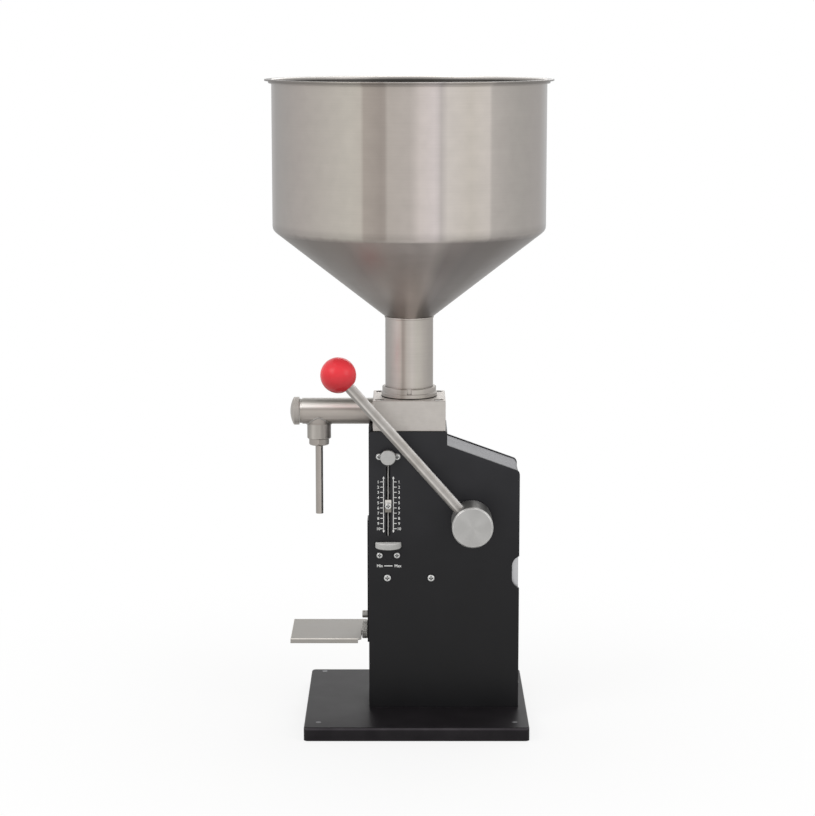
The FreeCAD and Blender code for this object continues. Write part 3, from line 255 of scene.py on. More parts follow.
# the floor glows for the camera and for reflections: white far off, its own shadow kept near
floorValues = {"half": 9.0, "colour": "#F2F2F1", "rough": 0.9, "near": 0.2, "far": 0.7,
               "glowNear": 0.8, "glowFar": 1.0, "mirrorReach": 3, "mirrorNear": 0.3,
               "mirrorFar": 0.85}
floorMesh = bmesh.new()
half = floorValues["half"]
floorMesh.faces.new([floorMesh.verts.new(spot) for spot in
                     ((-half, -half, 0), (half, -half, 0), (half, half, 0), (-half, half, 0))])
floor = finishMesh("studioFloor", floorMesh)
floorPaint, tree, shader = startMaterial("matt white studio floor", **{
    "Base Color": toLinear(floorValues["colour"]), "Roughness": floorValues["rough"]})
rays = addNode(tree, "ShaderNodeLightPath").outputs
place = addNode(tree, "ShaderNodeTexCoord").outputs["Object"]
away = addNode(tree, "ShaderNodeVectorMath", {0: place}, operation="LENGTH").outputs["Value"]
toCamera = addNode(tree, "ShaderNodeMapRange", {
    "Value": away, "From Min": floorValues["near"], "From Max": floorValues["far"],
    "To Min": floorValues["glowNear"], "To Max": floorValues["glowFar"]},
    interpolation_type="SMOOTHSTEP")
toMetal = addNode(tree, "ShaderNodeMapRange", {
    "Value": away, "From Min": floorValues["near"],
    "From Max": floorValues["mirrorReach"] * floorValues["far"],
    "To Min": floorValues["mirrorNear"], "To Max": floorValues["mirrorFar"]})
straight = addNode(tree, "ShaderNodeMath", {0: rays["Is Camera Ray"], 1: toCamera.outputs[0]},
                   operation="MULTIPLY")
mirrored = addNode(tree, "ShaderNodeMath", {0: rays["Is Glossy Ray"], 1: toMetal.outputs[0]},
                   operation="MULTIPLY")
share = addNode(tree, "ShaderNodeMath", {0: straight.outputs[0], 1: mirrored.outputs[0]},
                operation="MAXIMUM")
glow = addNode(tree, "ShaderNodeEmission", {"Color": (1, 1, 1, 1), "Strength": 1.0})
mix = addNode(tree, "ShaderNodeMixShader", {0: share.outputs[0], 1: shader.outputs[0],
                                            2: glow.outputs[0]})
tree.links.new(mix.outputs[0], tree.nodes["Material Output"].inputs["Surface"])
floor.data.materials.append(floorPaint)
print("camera, lamps and floor set")


metal = {"stretch": 0.75, "stretchTurn": 0.25, "lineDetail": 3.0, "lineRough": 0.6,
         "cloudDetail": 2.0, "cloudShare": 0.5, "tones": (0.32, 0.68), "roughOver": (0.3, 0.7),
         "seamGrain": 9, "seamDetail": 4.0, "sideOnly": 0.3, "edge": 0.3, "edgeHighlight": (0.99, 0.88),
         "lineDeep": 0.05, "paintedRecessShade": [(0.25, "#3A3836"), (0.75, "#FFFFFF")]}


def steel(name, values):
    # bare metal: fine grinding lines, a slow cloud, and the room as painted reflection bands round
    # or up the piece
    material, tree, shader = startMaterial(name, Metallic=1.0)
    if "spun" in values:
        shader.inputs["Anisotropic"].default_value = metal["stretch"]
        shader.inputs["Anisotropic Rotation"].default_value = metal["stretchTurn"]
        groove = addNode(tree, "ShaderNodeTangent", direction_type="RADIAL", axis=values["spun"])
        tree.links.new(groove.outputs[0], shader.inputs["Tangent"])
    place = addNode(tree, "ShaderNodeTexCoord").outputs["Object"]
    local = addNode(tree, "ShaderNodeMapping", {
        "Vector": place, "Location": [v * mm for v in values.get("centre", (0, 0, 0))],
        "Rotation": (0, math.radians(values.get("turn", 0)), 0)}, vector_type="TEXTURE").outputs[0]
    fast, slow = 1 / (values["lineSpacing"] * mm), 1 / (values["lineLength"] * mm)
    lined = addNode(tree, "ShaderNodeMapping", {
        "Vector": local, "Scale": [fast if axis in values["across"] else slow for axis in "XYZ"]})
    lines = addNode(tree, "ShaderNodeTexNoise", {
        "Vector": lined.outputs[0], "Scale": 1.0, "Detail": metal["lineDetail"],
        "Roughness": metal["lineRough"]}).outputs["Fac"]
    cloud = addNode(tree, "ShaderNodeTexNoise", {
        "Vector": place, "Scale": 1 / (values["cloud"] * mm),
        "Detail": metal["cloudDetail"]}).outputs["Fac"]
    both = addNode(tree, "ShaderNodeMix", {"Factor": metal["cloudShare"], "A": lines,
                                           "B": cloud}).outputs[0]
    colour = addNode(tree, "ShaderNodeValToRGB", {"Fac": both}, stops=[
        (metal["tones"][0], values["dark"]), (metal["tones"][1], values["light"])]).outputs[0]
    spot = addNode(tree, "ShaderNodeSeparateXYZ", {0: local}).outputs
    toward = addNode(tree, "ShaderNodeMath", {0: spot["Y"], 1: -1.0},
                     operation="MULTIPLY").outputs[0]
    around = addNode(tree, "ShaderNodeMath", {0: spot[values.get("up", "X")], 1: toward},
                     operation="ARCTAN2").outputs[0]
    if "bands" in values:
        bands = tonesAlong(tree, around, -math.pi, math.pi, values["bands"])
        if "lowBands" in values:
            # below a seam the piece has painted reflection bands of its own, read round it or along
            # X
            measure, low, high = around, -math.pi, math.pi
            if "lowSpan" in values:
                measure, low, high = spot["X"], *[v * mm for v in values["lowSpan"]]
            lowBands = tonesAlong(tree, measure, low, high, values["lowBands"])
            grain = addNode(tree, "ShaderNodeTexNoise", {
                "Vector": place, "Scale": 1 / (metal["seamGrain"] * mm),
                "Detail": metal["seamDetail"]}).outputs["Fac"]
            wave = addNode(tree, "ShaderNodeMath", {
                0: grain, 1: values["seamWave"] * mm, 2: spot["Z"]},
                operation="MULTIPLY_ADD").outputs[0]
            above = addNode(tree, "ShaderNodeMapRange", {
                "Value": wave, "From Min": values["seam"][0] * mm,
                "From Max": values["seam"][1] * mm}).outputs[0]
            bands = addNode(tree, "ShaderNodeMix", {
                "Factor": above, mixFirst: lowBands, mixSecond: bands},
                data_type="RGBA").outputs[mixResult]
        colour = addNode(tree, "ShaderNodeMix", {
            "Factor": 1.0, mixFirst: bands, mixSecond: colour},
            data_type="RGBA", blend_type="MULTIPLY").outputs[mixResult]
    # painted light and shade: tones by height multiplied into the colour
    if "rise" in values:
        low, high, stops = values["rise"]
        steps = tonesAlong(tree, spot["Z"], low * mm, high * mm, stops)
        colour = addNode(tree, "ShaderNodeMix", {
            "Factor": 1.0, mixFirst: steps, mixSecond: colour},
            data_type="RGBA", blend_type="MULTIPLY").outputs[mixResult]
    if "inside" in values:
        # the inner face points towards the axis; it is plain, and painted with shade and light where
        # it nears the rim
        plainTone, low, high, top, stops = values["inside"]
        flat = addNode(tree, "ShaderNodeCombineXYZ", {"X": spot["X"], "Y": spot["Y"]}).outputs[0]
        facing = addNode(tree, "ShaderNodeNewGeometry").outputs["True Normal"]
        outward = addNode(tree, "ShaderNodeVectorMath", {0: facing, 1: flat},
                          operation="DOT_PRODUCT")
        within = addNode(tree, "ShaderNodeMath", {0: outward.outputs["Value"], 1: 0.0},
                         operation="LESS_THAN").outputs[0]
        colour = addNode(tree, "ShaderNodeMix", {
            "Factor": within, mixFirst: colour, mixSecond: toLinear(plainTone)},
            data_type="RGBA").outputs[mixResult]
        lift = addNode(tree, "ShaderNodeMapRange", {
            "Value": spot["Z"], "From Min": low * mm, "From Max": high * mm,
            "To Max": within}).outputs[0]
        shade = tonesAlong(tree, spot["Z"], high * mm, top * mm, stops)
        colour = addNode(tree, "ShaderNodeMix", {
            "Factor": lift, mixFirst: colour, mixSecond: shade},
            data_type="RGBA").outputs[mixResult]
    if "side" in values:
        # a piece turned about Y has a plain end face; its round side is toned from left to right as
        # a painted reflection
        left, right, stops = values["side"]
        facing = addNode(tree, "ShaderNodeNewGeometry").outputs["True Normal"]
        along = addNode(tree, "ShaderNodeSeparateXYZ", {0: facing}).outputs["Y"]
        along = addNode(tree, "ShaderNodeMath", {0: along}, operation="ABSOLUTE").outputs[0]
        onSide = addNode(tree, "ShaderNodeMath", {0: along, 1: metal["sideOnly"]},
                         operation="LESS_THAN").outputs[0]
        tones = tonesAlong(tree, spot["X"], left * mm, right * mm, stops)
        colour = addNode(tree, "ShaderNodeMix", {
            "Factor": onSide, mixFirst: colour, mixSecond: tones},
            data_type="RGBA", blend_type="MULTIPLY").outputs[mixResult]
    # painted shade: recesses, slots and tight corners darkened by how closely they are hemmed in
    if "recess" in values:
        clear = addNode(tree, "ShaderNodeAmbientOcclusion", {"Distance": values["recess"] * mm},
                        samples=6)
        paintedRecessShade = addNode(tree, "ShaderNodeValToRGB", {"Fac": clear.outputs["AO"]},
                        stops=values.get("paintedRecessShade", metal["paintedRecessShade"])).outputs[0]
        colour = addNode(tree, "ShaderNodeMix", {
            "Factor": 1.0, mixFirst: paintedRecessShade, mixSecond: colour},
            data_type="RGBA", blend_type="MULTIPLY").outputs[mixResult]
    edge = addNode(tree, "ShaderNodeBevel", {"Radius": values.get("edge", metal["edge"]) * mm},
                   samples=4).outputs[0]
    # painted highlight: edges mixed towards a brighter colour
    if "edgeHighlight" in values:
        flat = addNode(tree, "ShaderNodeNewGeometry").outputs["Normal"]
        same = addNode(tree, "ShaderNodeVectorMath", {0: edge, 1: flat},
                       operation="DOT_PRODUCT").outputs["Value"]
        highlightShare = addNode(tree, "ShaderNodeMapRange", {
            "Value": same, "From Min": metal["edgeHighlight"][0], "From Max": metal["edgeHighlight"][1]}).outputs[0]
        colour = addNode(tree, "ShaderNodeMix", {
            "Factor": highlightShare, mixFirst: colour, mixSecond: toLinear(values["edgeHighlight"])},
            data_type="RGBA").outputs[mixResult]
    tree.links.new(colour, shader.inputs["Base Color"])
    rough = addNode(tree, "ShaderNodeMapRange", {
        "Value": both, "From Min": metal["roughOver"][0], "From Max": metal["roughOver"][1],
        "To Min": values["rough"][0], "To Max": values["rough"][1]})
    tree.links.new(rough.outputs[0], shader.inputs["Roughness"])
    height, deep = lines, metal["lineDeep"]
    if "ridges" in values:
        perTurn, perMm, deep = values["ridges"]
        turns = addNode(tree, "ShaderNodeMath", {0: around, 1: perTurn},
                        operation="MULTIPLY").outputs[0]
        climb = addNode(tree, "ShaderNodeMath", {
            0: spot["Z"], 1: 2 * math.pi * perMm / mm, 2: turns},
            operation="MULTIPLY_ADD").outputs[0]
        height = addNode(tree, "ShaderNodeMath", {0: climb}, operation="SINE").outputs[0]
    bump = addNode(tree, "ShaderNodeBump", {"Height": height, "Strength": values["bump"],
                                            "Distance": deep * mm, "Normal": edge})
    tree.links.new(bump.outputs[0], shader.inputs["Normal"])
    return material


# lines are drawn 0.4 to 1.6 mm apart (really about 0.1 mm), so that they show
plain = {"rough": (0.3, 0.4), "lineSpacing": 0.5, "lineLength": 60, "cloud": 25, "across": "Z",
         "bump": 0.15}
# neck: stainless tube, belt-ground round, with soft upright bands of the room
neckBands = [(0.0, "#B6B2AC"), (0.1, "#96928D"), (0.2, "#AEAAA4"), (0.296, "#A3A09D"),
             (0.365, "#B2ACA8"), (0.416, "#C9C2BD"), (0.440, "#C2BAB3"), (0.455, "#A29A93"),
             (0.466, "#A89F98"), (0.485, "#BEB7B0"), (0.518, "#C8C1BB"), (0.555, "#BBB6AE"),
             (0.6, "#B0AAA4"), (0.7, "#A39E99"), (0.8, "#B6B2AC"), (0.9, "#96928D"),
             (1.0, "#B6B2AC")]
neckSteel = steel("stainless tube, ground round", dict(
    plain, dark="#F0F0F0", light="#FFFFFF", rough=(0.46, 0.54), bands=neckBands))
# the level tube is lit from above: a bright streak high on its side and a dark belly
tubeBands = [(0.0, "#8A8680"), (0.12, "#77736E"), (0.28, "#847F7A"), (0.36, "#98928C"),
             (0.39, "#A9A29C"), (0.45, "#ADA6A0"), (0.515, "#B6AFA8"), (0.550, "#A29C96"),
             (0.568, "#DCD8D2"), (0.58, "#FDFAF5"), (0.606, "#FAF6F0"), (0.63, "#D2CEC8"),
             (0.65, "#A8A49E"), (0.68, "#94918C"), (0.75, "#B4B1AC"), (0.8, "#D8D6D2"),
             (0.9, "#A8A49F"), (1.0, "#8A8680")]
# its boss points down, so its painted reflection is banded from left to right
bossBands = [(0.0, "#98948F"), (0.04, "#9A9691"), (0.12, "#A29E98"), (0.24, "#B9B4AE"),
             (0.32, "#B5B0AA"), (0.40, "#ACA7A1"), (0.56, "#AEA9A3"), (0.62, "#A09B96"),
             (0.69, "#9E9994"), (0.74, "#B2ACA6"), (0.85, "#E4DED8"), (0.93, "#D0CAC4"),
             (1.0, "#8A8682")]
tubeSteel = steel("stainless tube, ground along", dict(
    plain, dark="#F2F2F2", light="#FFFFFF", rough=(0.42, 0.5), across="Y", up="Z",
    centre=(0, 0, 345.8), bands=tubeBands, lowBands=bossBands, lowSpan=(-113.6, -87.2),
    seam=(-14.6, -13.4), seamWave=0.0))
# filler block: milled and bead-blasted, nearly even, a slow cloud over it, with painted shade in its
# recesses
blockSteel = steel("stainless block, bead-blasted", dict(
    plain, dark="#B9B4AF", light="#C6C1BC", rough=(0.5, 0.58), lineLength=8, cloud=9, bump=0.06,
    edge=0.5, recess=2.5))
# collar: turned ring, the tube's painted reflection bands again, a little plainer, with painted
# shade in its recesses
collarSteel = steel("stainless collar, turned", dict(
    plain, dark="#E9E9E9", light="#FFFFFF", lineSpacing=0.8, rough=(0.4, 0.48), bands=neckBands,
    recess=2.0))
# end cap: turned, a painted highlight along its rim
capSteel = steel("stainless cap, turned", dict(
    plain, dark="#9C9792", light="#ADA8A3", lineSpacing=0.8, across="X", rough=(0.4, 0.48),
    edge=0.5, edgeHighlight="#C8C3BD"))
# nozzle pipe and its nut: drawn, a painted reflection pale on the left and dark on the right
pipeBands = [(0.0, "#A8A49F"), (0.25, "#96918B"), (0.36, "#A09B96"), (0.45, "#A7A09A"),
             (0.53, "#B3ACA5"), (0.6, "#C6C0BA"), (0.66, "#9C9995"), (0.72, "#625F5C"),
             (0.8, "#6E6B68"), (1.0, "#A8A49F")]
pipeSteel = steel("stainless pipe, drawn", dict(
    plain, dark="#F0F0F0", light="#FFFFFF", centre=(-100.4, 0, 0), bands=pipeBands))
# lever bar: ground along its length, streaky and flat grey to the eye; its bands are a painted
# reflection with one bright streak
leverBands = [(0.0, "#B8B5B2"), (0.25, "#B0AEAB"), (0.34, "#B0AEAB"), (0.38, "#A8A5A2"),
              (0.42, "#A5A29F"), (0.448, "#E6E3DF"), (0.477, "#D6D3D0"), (0.506, "#B2AFAC"),
              (0.534, "#B2AFAC"), (0.564, "#AAA7A4"), (0.597, "#B2AFAC"), (0.635, "#CAC7C4"),
              (0.68, "#FFFFFF"), (0.78, "#FFFFFF"), (1.0, "#B8B5B2")]
leverSteel = steel("stainless bar, ground", dict(
    plain, dark="#D8D5D1", light="#FFFFFF", rough=(0.55, 0.62), bands=leverBands, across="XY",
    turn=-41.5, centre=(69, -61, 230), lineSpacing=1.6, lineLength=90, cloud=12))
# hub: turned; its face is satin with faint rings; its side carries a painted reflection of the dark
# case with one streak, and its chamfer a painted highlight
hubSide = [(0.0, "#C0C0C0"), (0.26, "#BFBFBF"), (0.353, "#A8A8A8"), (0.449, "#B8B8B8"),
           (0.542, "#F6F6F6"), (0.638, "#EBEBEB"), (0.731, "#B8B8B8"), (0.827, "#868686"),
           (0.92, "#989898"), (1.0, "#A0A0A0")]
hubSteel = steel("stainless hub, turned", dict(
    plain, dark="#ACABA9", light="#B9B8B6", rough=(0.4, 0.48), across="Y", cloud=18, edge=0.9,
    edgeHighlight="#F4F3F1", spun="Y", centre=(69, -61, 230), side=(-22.5, 22.5, hubSide)))
# tray: laser-cut rolled sheet, cloudy mill finish, warm grey; a painted highlight runs along its
# front edge, and its front face is painted lighter than its top
traySteel = steel("stainless sheet, mill finish", dict(
    plain, dark="#CFCBC5", light="#DCD7D0", rough=(0.42, 0.52), across="Y", lineSpacing=0.9,
    edge=0.8, rise=(90, 97, [(0.0, "#C3C3C3"), (0.70, "#C3C3C3"), (0.73, "#FFFFFF"),
                             (0.846, "#FFFFFF"), (0.855, "#A5A5A5"), (1.0, "#A5A5A5")])))
# cover: the same sheet, cooler; its slope lies in the dark of the case, so it is drawn darker
coverSteel = steel("stainless cover, rolled sheet", dict(
    plain, dark="#B9B9BB", light="#C4C4C6", rough=(0.4, 0.5), lineSpacing=0.9,
    rise=(255, 285, [(0.0, "#FFFFFF"), (0.5, "#959597"), (1.0, "#8B8B8D")])))
# inner working parts: plain milled steel, duller
milledSteel = steel("carbon steel, milled", dict(
    plain, dark="#75736F", light="#93918D", rough=(0.38, 0.5), across="X", lineSpacing=0.8))
# screws: bright and nearly even, their slots painted dark as shade, their edges painted bright as a
# highlight
screwSteel = steel("stainless screws, headed", dict(
    plain, dark="#C2C2C1", light="#DCDCDA", rough=(0.3, 0.38), cloud=6, edge=0.2, recess=2.2,
    edgeHighlight="#F2F2F0", paintedRecessShade=[(0.45, "#141313"), (0.85, "#FFFFFF")]))
# bearing cap and shaft end: turned steel, evenly grey, with painted shade in its recesses
plainSteel = steel("stainless fittings, turned", dict(
    plain, dark="#AEADAB", light="#BBBAB8", rough=(0.36, 0.44), cloud=6, edge=0.5, recess=3.5))
# the tray's fastenings: zinc plate, duller, with a painted highlight along their edges
studSteel = steel("zinc-plated fastenings", dict(
    plain, dark="#9A9894", light="#B0AEAA", rough=(0.4, 0.5), cloud=6, edge=0.4, edgeHighlight="#B4B2AE"))
# base screws: zinc gone grey, hardly lighter than the plate
dullScrew = steel("zinc screws, dull", dict(
    plain, dark="#6E6E70", light="#838385", rough=(0.4, 0.5), cloud=6, edge=0.2))
# pointer nut: nickel plate, painted light above its screw and painted shade below, with painted
# shade in its recesses
nutNickel = steel("nickel-plated nut, milled", dict(
    plain, dark="#C6C3BE", light="#E2DFDA", rough=(0.32, 0.42), lineSpacing=0.4, cloud=6,
    edge=0.4, recess=2.5, rise=(239, 253, [(0.0, "#A09E9A"), (0.42, "#969490"),
                                           (0.56, "#FFFFFF"), (1.0, "#FFFFFF")])))
# dose screw: rolled thread, three starts at 3 mm lead, so a crest each millimetre
threadSteel = steel("steel screw, rolled thread", dict(
    plain, dark="#9A9896", light="#ADABA8", rough=(0.34, 0.42), centre=(-23.2, -36.4, 0),
    ridges=(3, 1.0, 0.2), bump=0.6, cloud=8))
# spring wire: drawn, a dull shine
springSteel = steel("spring wire, drawn", dict(
    plain, dark="#8E8C88", light="#B9B7B2", across="X", lineSpacing=0.4))
# sintered bronze: open grain, oil-dark
bronzeBush = steel("bronze bush, sintered", dict(
    plain, dark="#8A6236", light="#B98A55", rough=(0.35, 0.5), across="XYZ", lineSpacing=0.7))

# bowl: spun stainless polished round, so the room shows as upright bands
bowlBands = [(0.0, "#AFA9A3"), (0.1, "#938D87"), (0.2, "#A8A29C"), (0.274, "#AAA7A6"),
             (0.30, "#9E9A97"), (0.36, "#AFA8A3"), (0.433, "#BEB8AF"), (0.446, "#BDB6AD"),
             (0.449, "#AAA199"), (0.472, "#9F968F"), (0.476, "#B6AEA7"), (0.501, "#BAB2AC"),
             (0.512, "#CFC6C1"), (0.530, "#D4CBC9"), (0.534, "#BAB3B0"), (0.543, "#CBC4BE"),
             (0.57, "#BDB6AE"), (0.594, "#C3BCB6"), (0.598, "#B0AAA5"), (0.640, "#A9A49F"),
             (0.690, "#A39D99"), (0.722, "#B0AFAE"), (0.8, "#A39D98"), (0.9, "#BBB5AE"),
             (1.0, "#AFA9A3")]
# its cone looks down into the dark case and shows a pale streak over the neck
coneBands = [(0.0, "#BAB2AC"), (0.12, "#A09893"), (0.19, "#7C7773"), (0.25, "#A6A4A2"),
             (0.30, "#7E7975"), (0.36, "#79736E"), (0.42, "#8C8580"), (0.46, "#B2AAA4"),
             (0.50, "#DAD1CC"), (0.53, "#D8CFCA"), (0.55, "#A29A96"), (0.58, "#807A77"),
             (0.62, "#736D69"), (0.68, "#827D7A"), (0.73, "#A6A4A2"), (0.80, "#7C7773"),
             (0.88, "#A09893"), (1.0, "#BAB2AC")]
# painted shade inside the bowl under the rim, turning to painted light at the rim top
bowlInside = [(0.0, "#4A4846"), (0.3, "#3A3836"), (0.5, "#4C4A48"), (0.72, "#A29E9A"),
              (1.0, "#DAD6D2")]
# a little darker round the knee; the rim band is darkened as painted shade
bowlRise = [(0.0, "#FFFFFF"), (0.1, "#FFFFFF"), (0.22, "#EEEEEE"), (0.38, "#EEEEEE"),
            (0.403, "#FFFFFF"), (0.971, "#FFFFFF"), (0.9745, "#C8C8C8"), (0.984, "#C8C8C8"),
            (0.986, "#B4B4B4"), (1.0, "#B4B4B4")]
bowlSheet = steel("stainless bowl, spun and polished", dict(
    plain, dark="#F4F4F4", light="#FFFFFF", rough=(0.38, 0.46), lineLength=90, cloud=14,
    bump=0.04, edge=0.1, bands=bowlBands, lowBands=coneBands, seam=(546.0, 551.6), seamWave=3.0,
    inside=("#D3D1CE", 697, 704, 711.7, bowlInside), rise=(452, 715, bowlRise)))


skin = {"grainDetail": 2.0, "grainRough": 0.55, "cloudDetail": 3.0, "cloudShare": 0.5,
        "tones": (0.3, 0.7), "roughOver": (0.3, 0.7), "edge": 0.4, "edgeWearAndLight": (0.995, 0.85),
        "deep": 0.08}


def coat(name, values):
    # anything that isn't bare metal: two tones, fine grain, and edges mixed a little towards another
    # tone, partly wear and partly painted light
    material, tree, shader = startMaterial(name, **{"Specular IOR Level": values["gloss"]})
    place = addNode(tree, "ShaderNodeTexCoord").outputs["Object"]
    grain = addNode(tree, "ShaderNodeTexNoise", {
        "Vector": place, "Scale": 1 / (values["grain"] * mm), "Detail": skin["grainDetail"],
        "Roughness": skin["grainRough"]}).outputs["Fac"]
    cloud = addNode(tree, "ShaderNodeTexNoise", {
        "Vector": place, "Scale": 1 / (values["cloud"] * mm),
        "Detail": skin["cloudDetail"]}).outputs["Fac"]
    colour = addNode(tree, "ShaderNodeValToRGB", {"Fac": cloud}, stops=[
        (skin["tones"][0], values["dark"]), (skin["tones"][1], values["light"])]).outputs[0]
    edge = addNode(tree, "ShaderNodeBevel", {"Radius": values.get("edge", skin["edge"]) * mm},
                   samples=4).outputs[0]
    # painted light and shade: tones by height multiplied into the colour
    if "rise" in values:
        low, high, stops = values["rise"]
        up = addNode(tree, "ShaderNodeSeparateXYZ", {0: place}).outputs["Z"]
        steps = tonesAlong(tree, up, low * mm, high * mm, stops)
        colour = addNode(tree, "ShaderNodeMix", {
            "Factor": 1.0, mixFirst: steps, mixSecond: colour},
            data_type="RGBA", blend_type="MULTIPLY").outputs[mixResult]
    # edges mixed towards another tone: partly wear, partly painted light and shade
    flat = addNode(tree, "ShaderNodeNewGeometry").outputs["Normal"]
    same = addNode(tree, "ShaderNodeVectorMath", {0: edge, 1: flat},
                   operation="DOT_PRODUCT").outputs["Value"]
    edgeWearAndLightShare = addNode(tree, "ShaderNodeMapRange", {
        "Value": same, "From Min": skin["edgeWearAndLight"][0], "From Max": skin["edgeWearAndLight"][1]}).outputs[0]
    colour = addNode(tree, "ShaderNodeMix", {
        "Factor": edgeWearAndLightShare, mixFirst: colour, mixSecond: toLinear(values["edgeWearAndLight"])},
        data_type="RGBA").outputs[mixResult]
    tree.links.new(colour, shader.inputs["Base Color"])
    both = addNode(tree, "ShaderNodeMix", {"Factor": skin["cloudShare"], "A": grain,
                                           "B": cloud}).outputs[0]
    rough = addNode(tree, "ShaderNodeMapRange", {
        "Value": both, "From Min": skin["roughOver"][0], "From Max": skin["roughOver"][1],
        "To Min": values["rough"][0], "To Max": values["rough"][1]})
    tree.links.new(rough.outputs[0], shader.inputs["Roughness"])
    bump = addNode(tree, "ShaderNodeBump", {"Height": grain, "Strength": values["bump"],
                                            "Distance": skin["deep"] * mm, "Normal": edge})
    tree.links.new(bump.outputs[0], shader.inputs["Normal"])
    return material


# case and base: black powder coat, grain about 0.7 mm, satin; a painted reflection makes the case
# paler towards its top
powder = {"rough": (0.4, 0.5), "grain": 0.7, "cloud": 45, "bump": 0.25, "edgeWearAndLight": "#2C2C2F"}
caseCoat = coat("black powder-coated steel", dict(
    powder, dark="#222225", light="#2A2A2D", gloss=0.27, edgeWearAndLight="#3A3A3D",
    rise=(20, 320, [(0.0, "#8C8A8C"), (0.233, "#888688"), (0.46, "#979597"), (0.577, "#B4B2B4"),
                    (0.807, "#EEEDEF"), (1.0, "#FFFFFF")])))
# base: a painted highlight along its rounded top edges, and its top and front faces toned apart as
# painted light
baseCoat = coat("black powder-coated plate", dict(
    powder, rough=(0.36, 0.44), cloud=22, gloss=0.1, dark="#3C383C", light="#4A464A",
    edgeWearAndLight="#605C62", rise=(0, 15.5, [(0.0, "#8C8C8C"), (0.78, "#949494"), (0.9, "#FFFFFF"),
                                      (0.95, "#FFFFFF"), (0.964, "#808080"), (1.0, "#808080")])))
# feet: moulded rubber, dull, with a faint bloom
padRubber = coat("black moulded rubber", dict(
    powder, dark="#141414", light="#1F1F1E", rough=(0.7, 0.85), grain=0.5, gloss=0.4))
# seals and gaskets: milky silicone, soft sheen
sealRubber = coat("pale silicone rubber", dict(
    powder, dark="#C9C8C2", light="#D8D7D2", rough=(0.55, 0.7), grain=0.6, bump=0.15, gloss=0.5,
    edgeWearAndLight="#DEDDD8"))
# ball: red phenolic, moulded and buffed, painted light above and painted shade in a deeper red below
ballRed = coat("red moulded phenolic", dict(
    powder, dark="#FA3E47", light="#FF4750", rough=(0.2, 0.26), grain=1.5, cloud=15, bump=0.04,
    gloss=0.2, edgeWearAndLight="#DC2630",
    rise=(375, 415, [(0.0, "#8C868A"), (0.16, "#BAB4B6"), (0.285, "#C6C4C4"), (0.5, "#E4E4E4"),
                     (0.7, "#FFFFFF"), (1.0, "#FFFFFF")])))
# thumbwheel: lacquered grey, its top face catching the light from above
wheelPaint = coat("steel dose wheel, grey lacquer", dict(
    powder, dark="#F0EFEC", light="#FAF9F6", rough=(0.45, 0.55), grain=0.5, cloud=10, bump=0.06,
    gloss=0.4, edge=0.3, edgeWearAndLight="#DEDDDA",
    rise=(198, 205, [(0.0, "#C0C0C0"), (0.86, "#C0C0C0"), (0.92, "#FFFFFF"), (1.0, "#FFFFFF")])))
# scale print: white screen ink, thin and slightly uneven
inkWhite = coat("white screen-printed ink", dict(
    powder, dark="#E4E4E2", light="#F6F6F4", rough=(0.5, 0.6), grain=0.4, cloud=3, bump=0.1,
    gloss=0.4, edgeWearAndLight="#F6F6F4"))
print("finishes made")


# CAD nodes keep their shapes and get a finish and smooth shading between their sharp edges
finishOf = {
    "satin_steel": traySteel, "hopper_steel": bowlSheet, "black_paint": caseCoat,
    "bright_steel": plainSteel, "zinc_steel": milledSteel, "fasteners": screwSteel,
    "spring_steel": springSteel, "bronze": bronzeBush, "seal_rubber": sealRubber,
    "foot_rubber": padRubber, "red_ball": ballRed,
}
ownFinish = {
    "valve_block": blockSteel, "collar": collarSteel, "hopper_neck": neckSteel,
    "discharge_tube": tubeSteel, "end_cap": capSteel, "nozzle_nut": pipeSteel,
    "nozzle": pipeSteel, "lever_rod": leverSteel, "lever_hub": hubSteel, "base_plate": baseCoat,
    "rear_cover": coverSteel, "lead_screw": threadSteel, "volume_nut": nutNickel,
    "base_screws": dullScrew, "tray_stud": studSteel, "tray_nut": studSteel,
    "tray_guide_pin": studSteel,
}
shading = {"smoothUnder": 34, "weld": 0.000002}

smoothing = bpy.data.node_groups.new("smoothByAngle", "GeometryNodeTree")
for way in ("INPUT", "OUTPUT"):
    smoothing.interface.new_socket("Geometry", in_out=way, socket_type="NodeSocketGeometry")
shapeIn = addNode(smoothing, "NodeGroupInput")
edgeAngle = addNode(smoothing, "GeometryNodeInputMeshEdgeAngle")
isSharp = addNode(smoothing, "FunctionNodeCompare", {
    0: edgeAngle.outputs["Unsigned Angle"], 1: math.radians(shading["smoothUnder"])})
allSmooth = addNode(smoothing, "GeometryNodeSetShadeSmooth", {
    "Geometry": shapeIn.outputs[0], "Shade Smooth": True}, domain="FACE")
someSharp = addNode(smoothing, "GeometryNodeSetShadeSmooth", {
    "Geometry": allSmooth.outputs[0], "Selection": isSharp.outputs[0], "Shade Smooth": False},
    domain="EDGE")
addNode(smoothing, "NodeGroupOutput", {0: someSharp.outputs[0]})

slotOf = {part["node"]: part["material_slot"] for part in frame["record"]["subparts"]}
for name, node in nodes.items():
    material = ownFinish.get(name, finishOf[slotOf[name]])
    if node.material_slots:
        for slot in node.material_slots:
            slot.material = material
    else:
        node.data.materials.append(material)
    weld = node.modifiers.new("weld", "WELD")
    weld.merge_threshold = shading["weld"]
    node.modifiers.new("smooth", "NODES").node_group = smoothing
    even = node.modifiers.new("evenNormals", "WEIGHTED_NORMAL")
    even.keep_sharp = True
print("CAD nodes dressed")


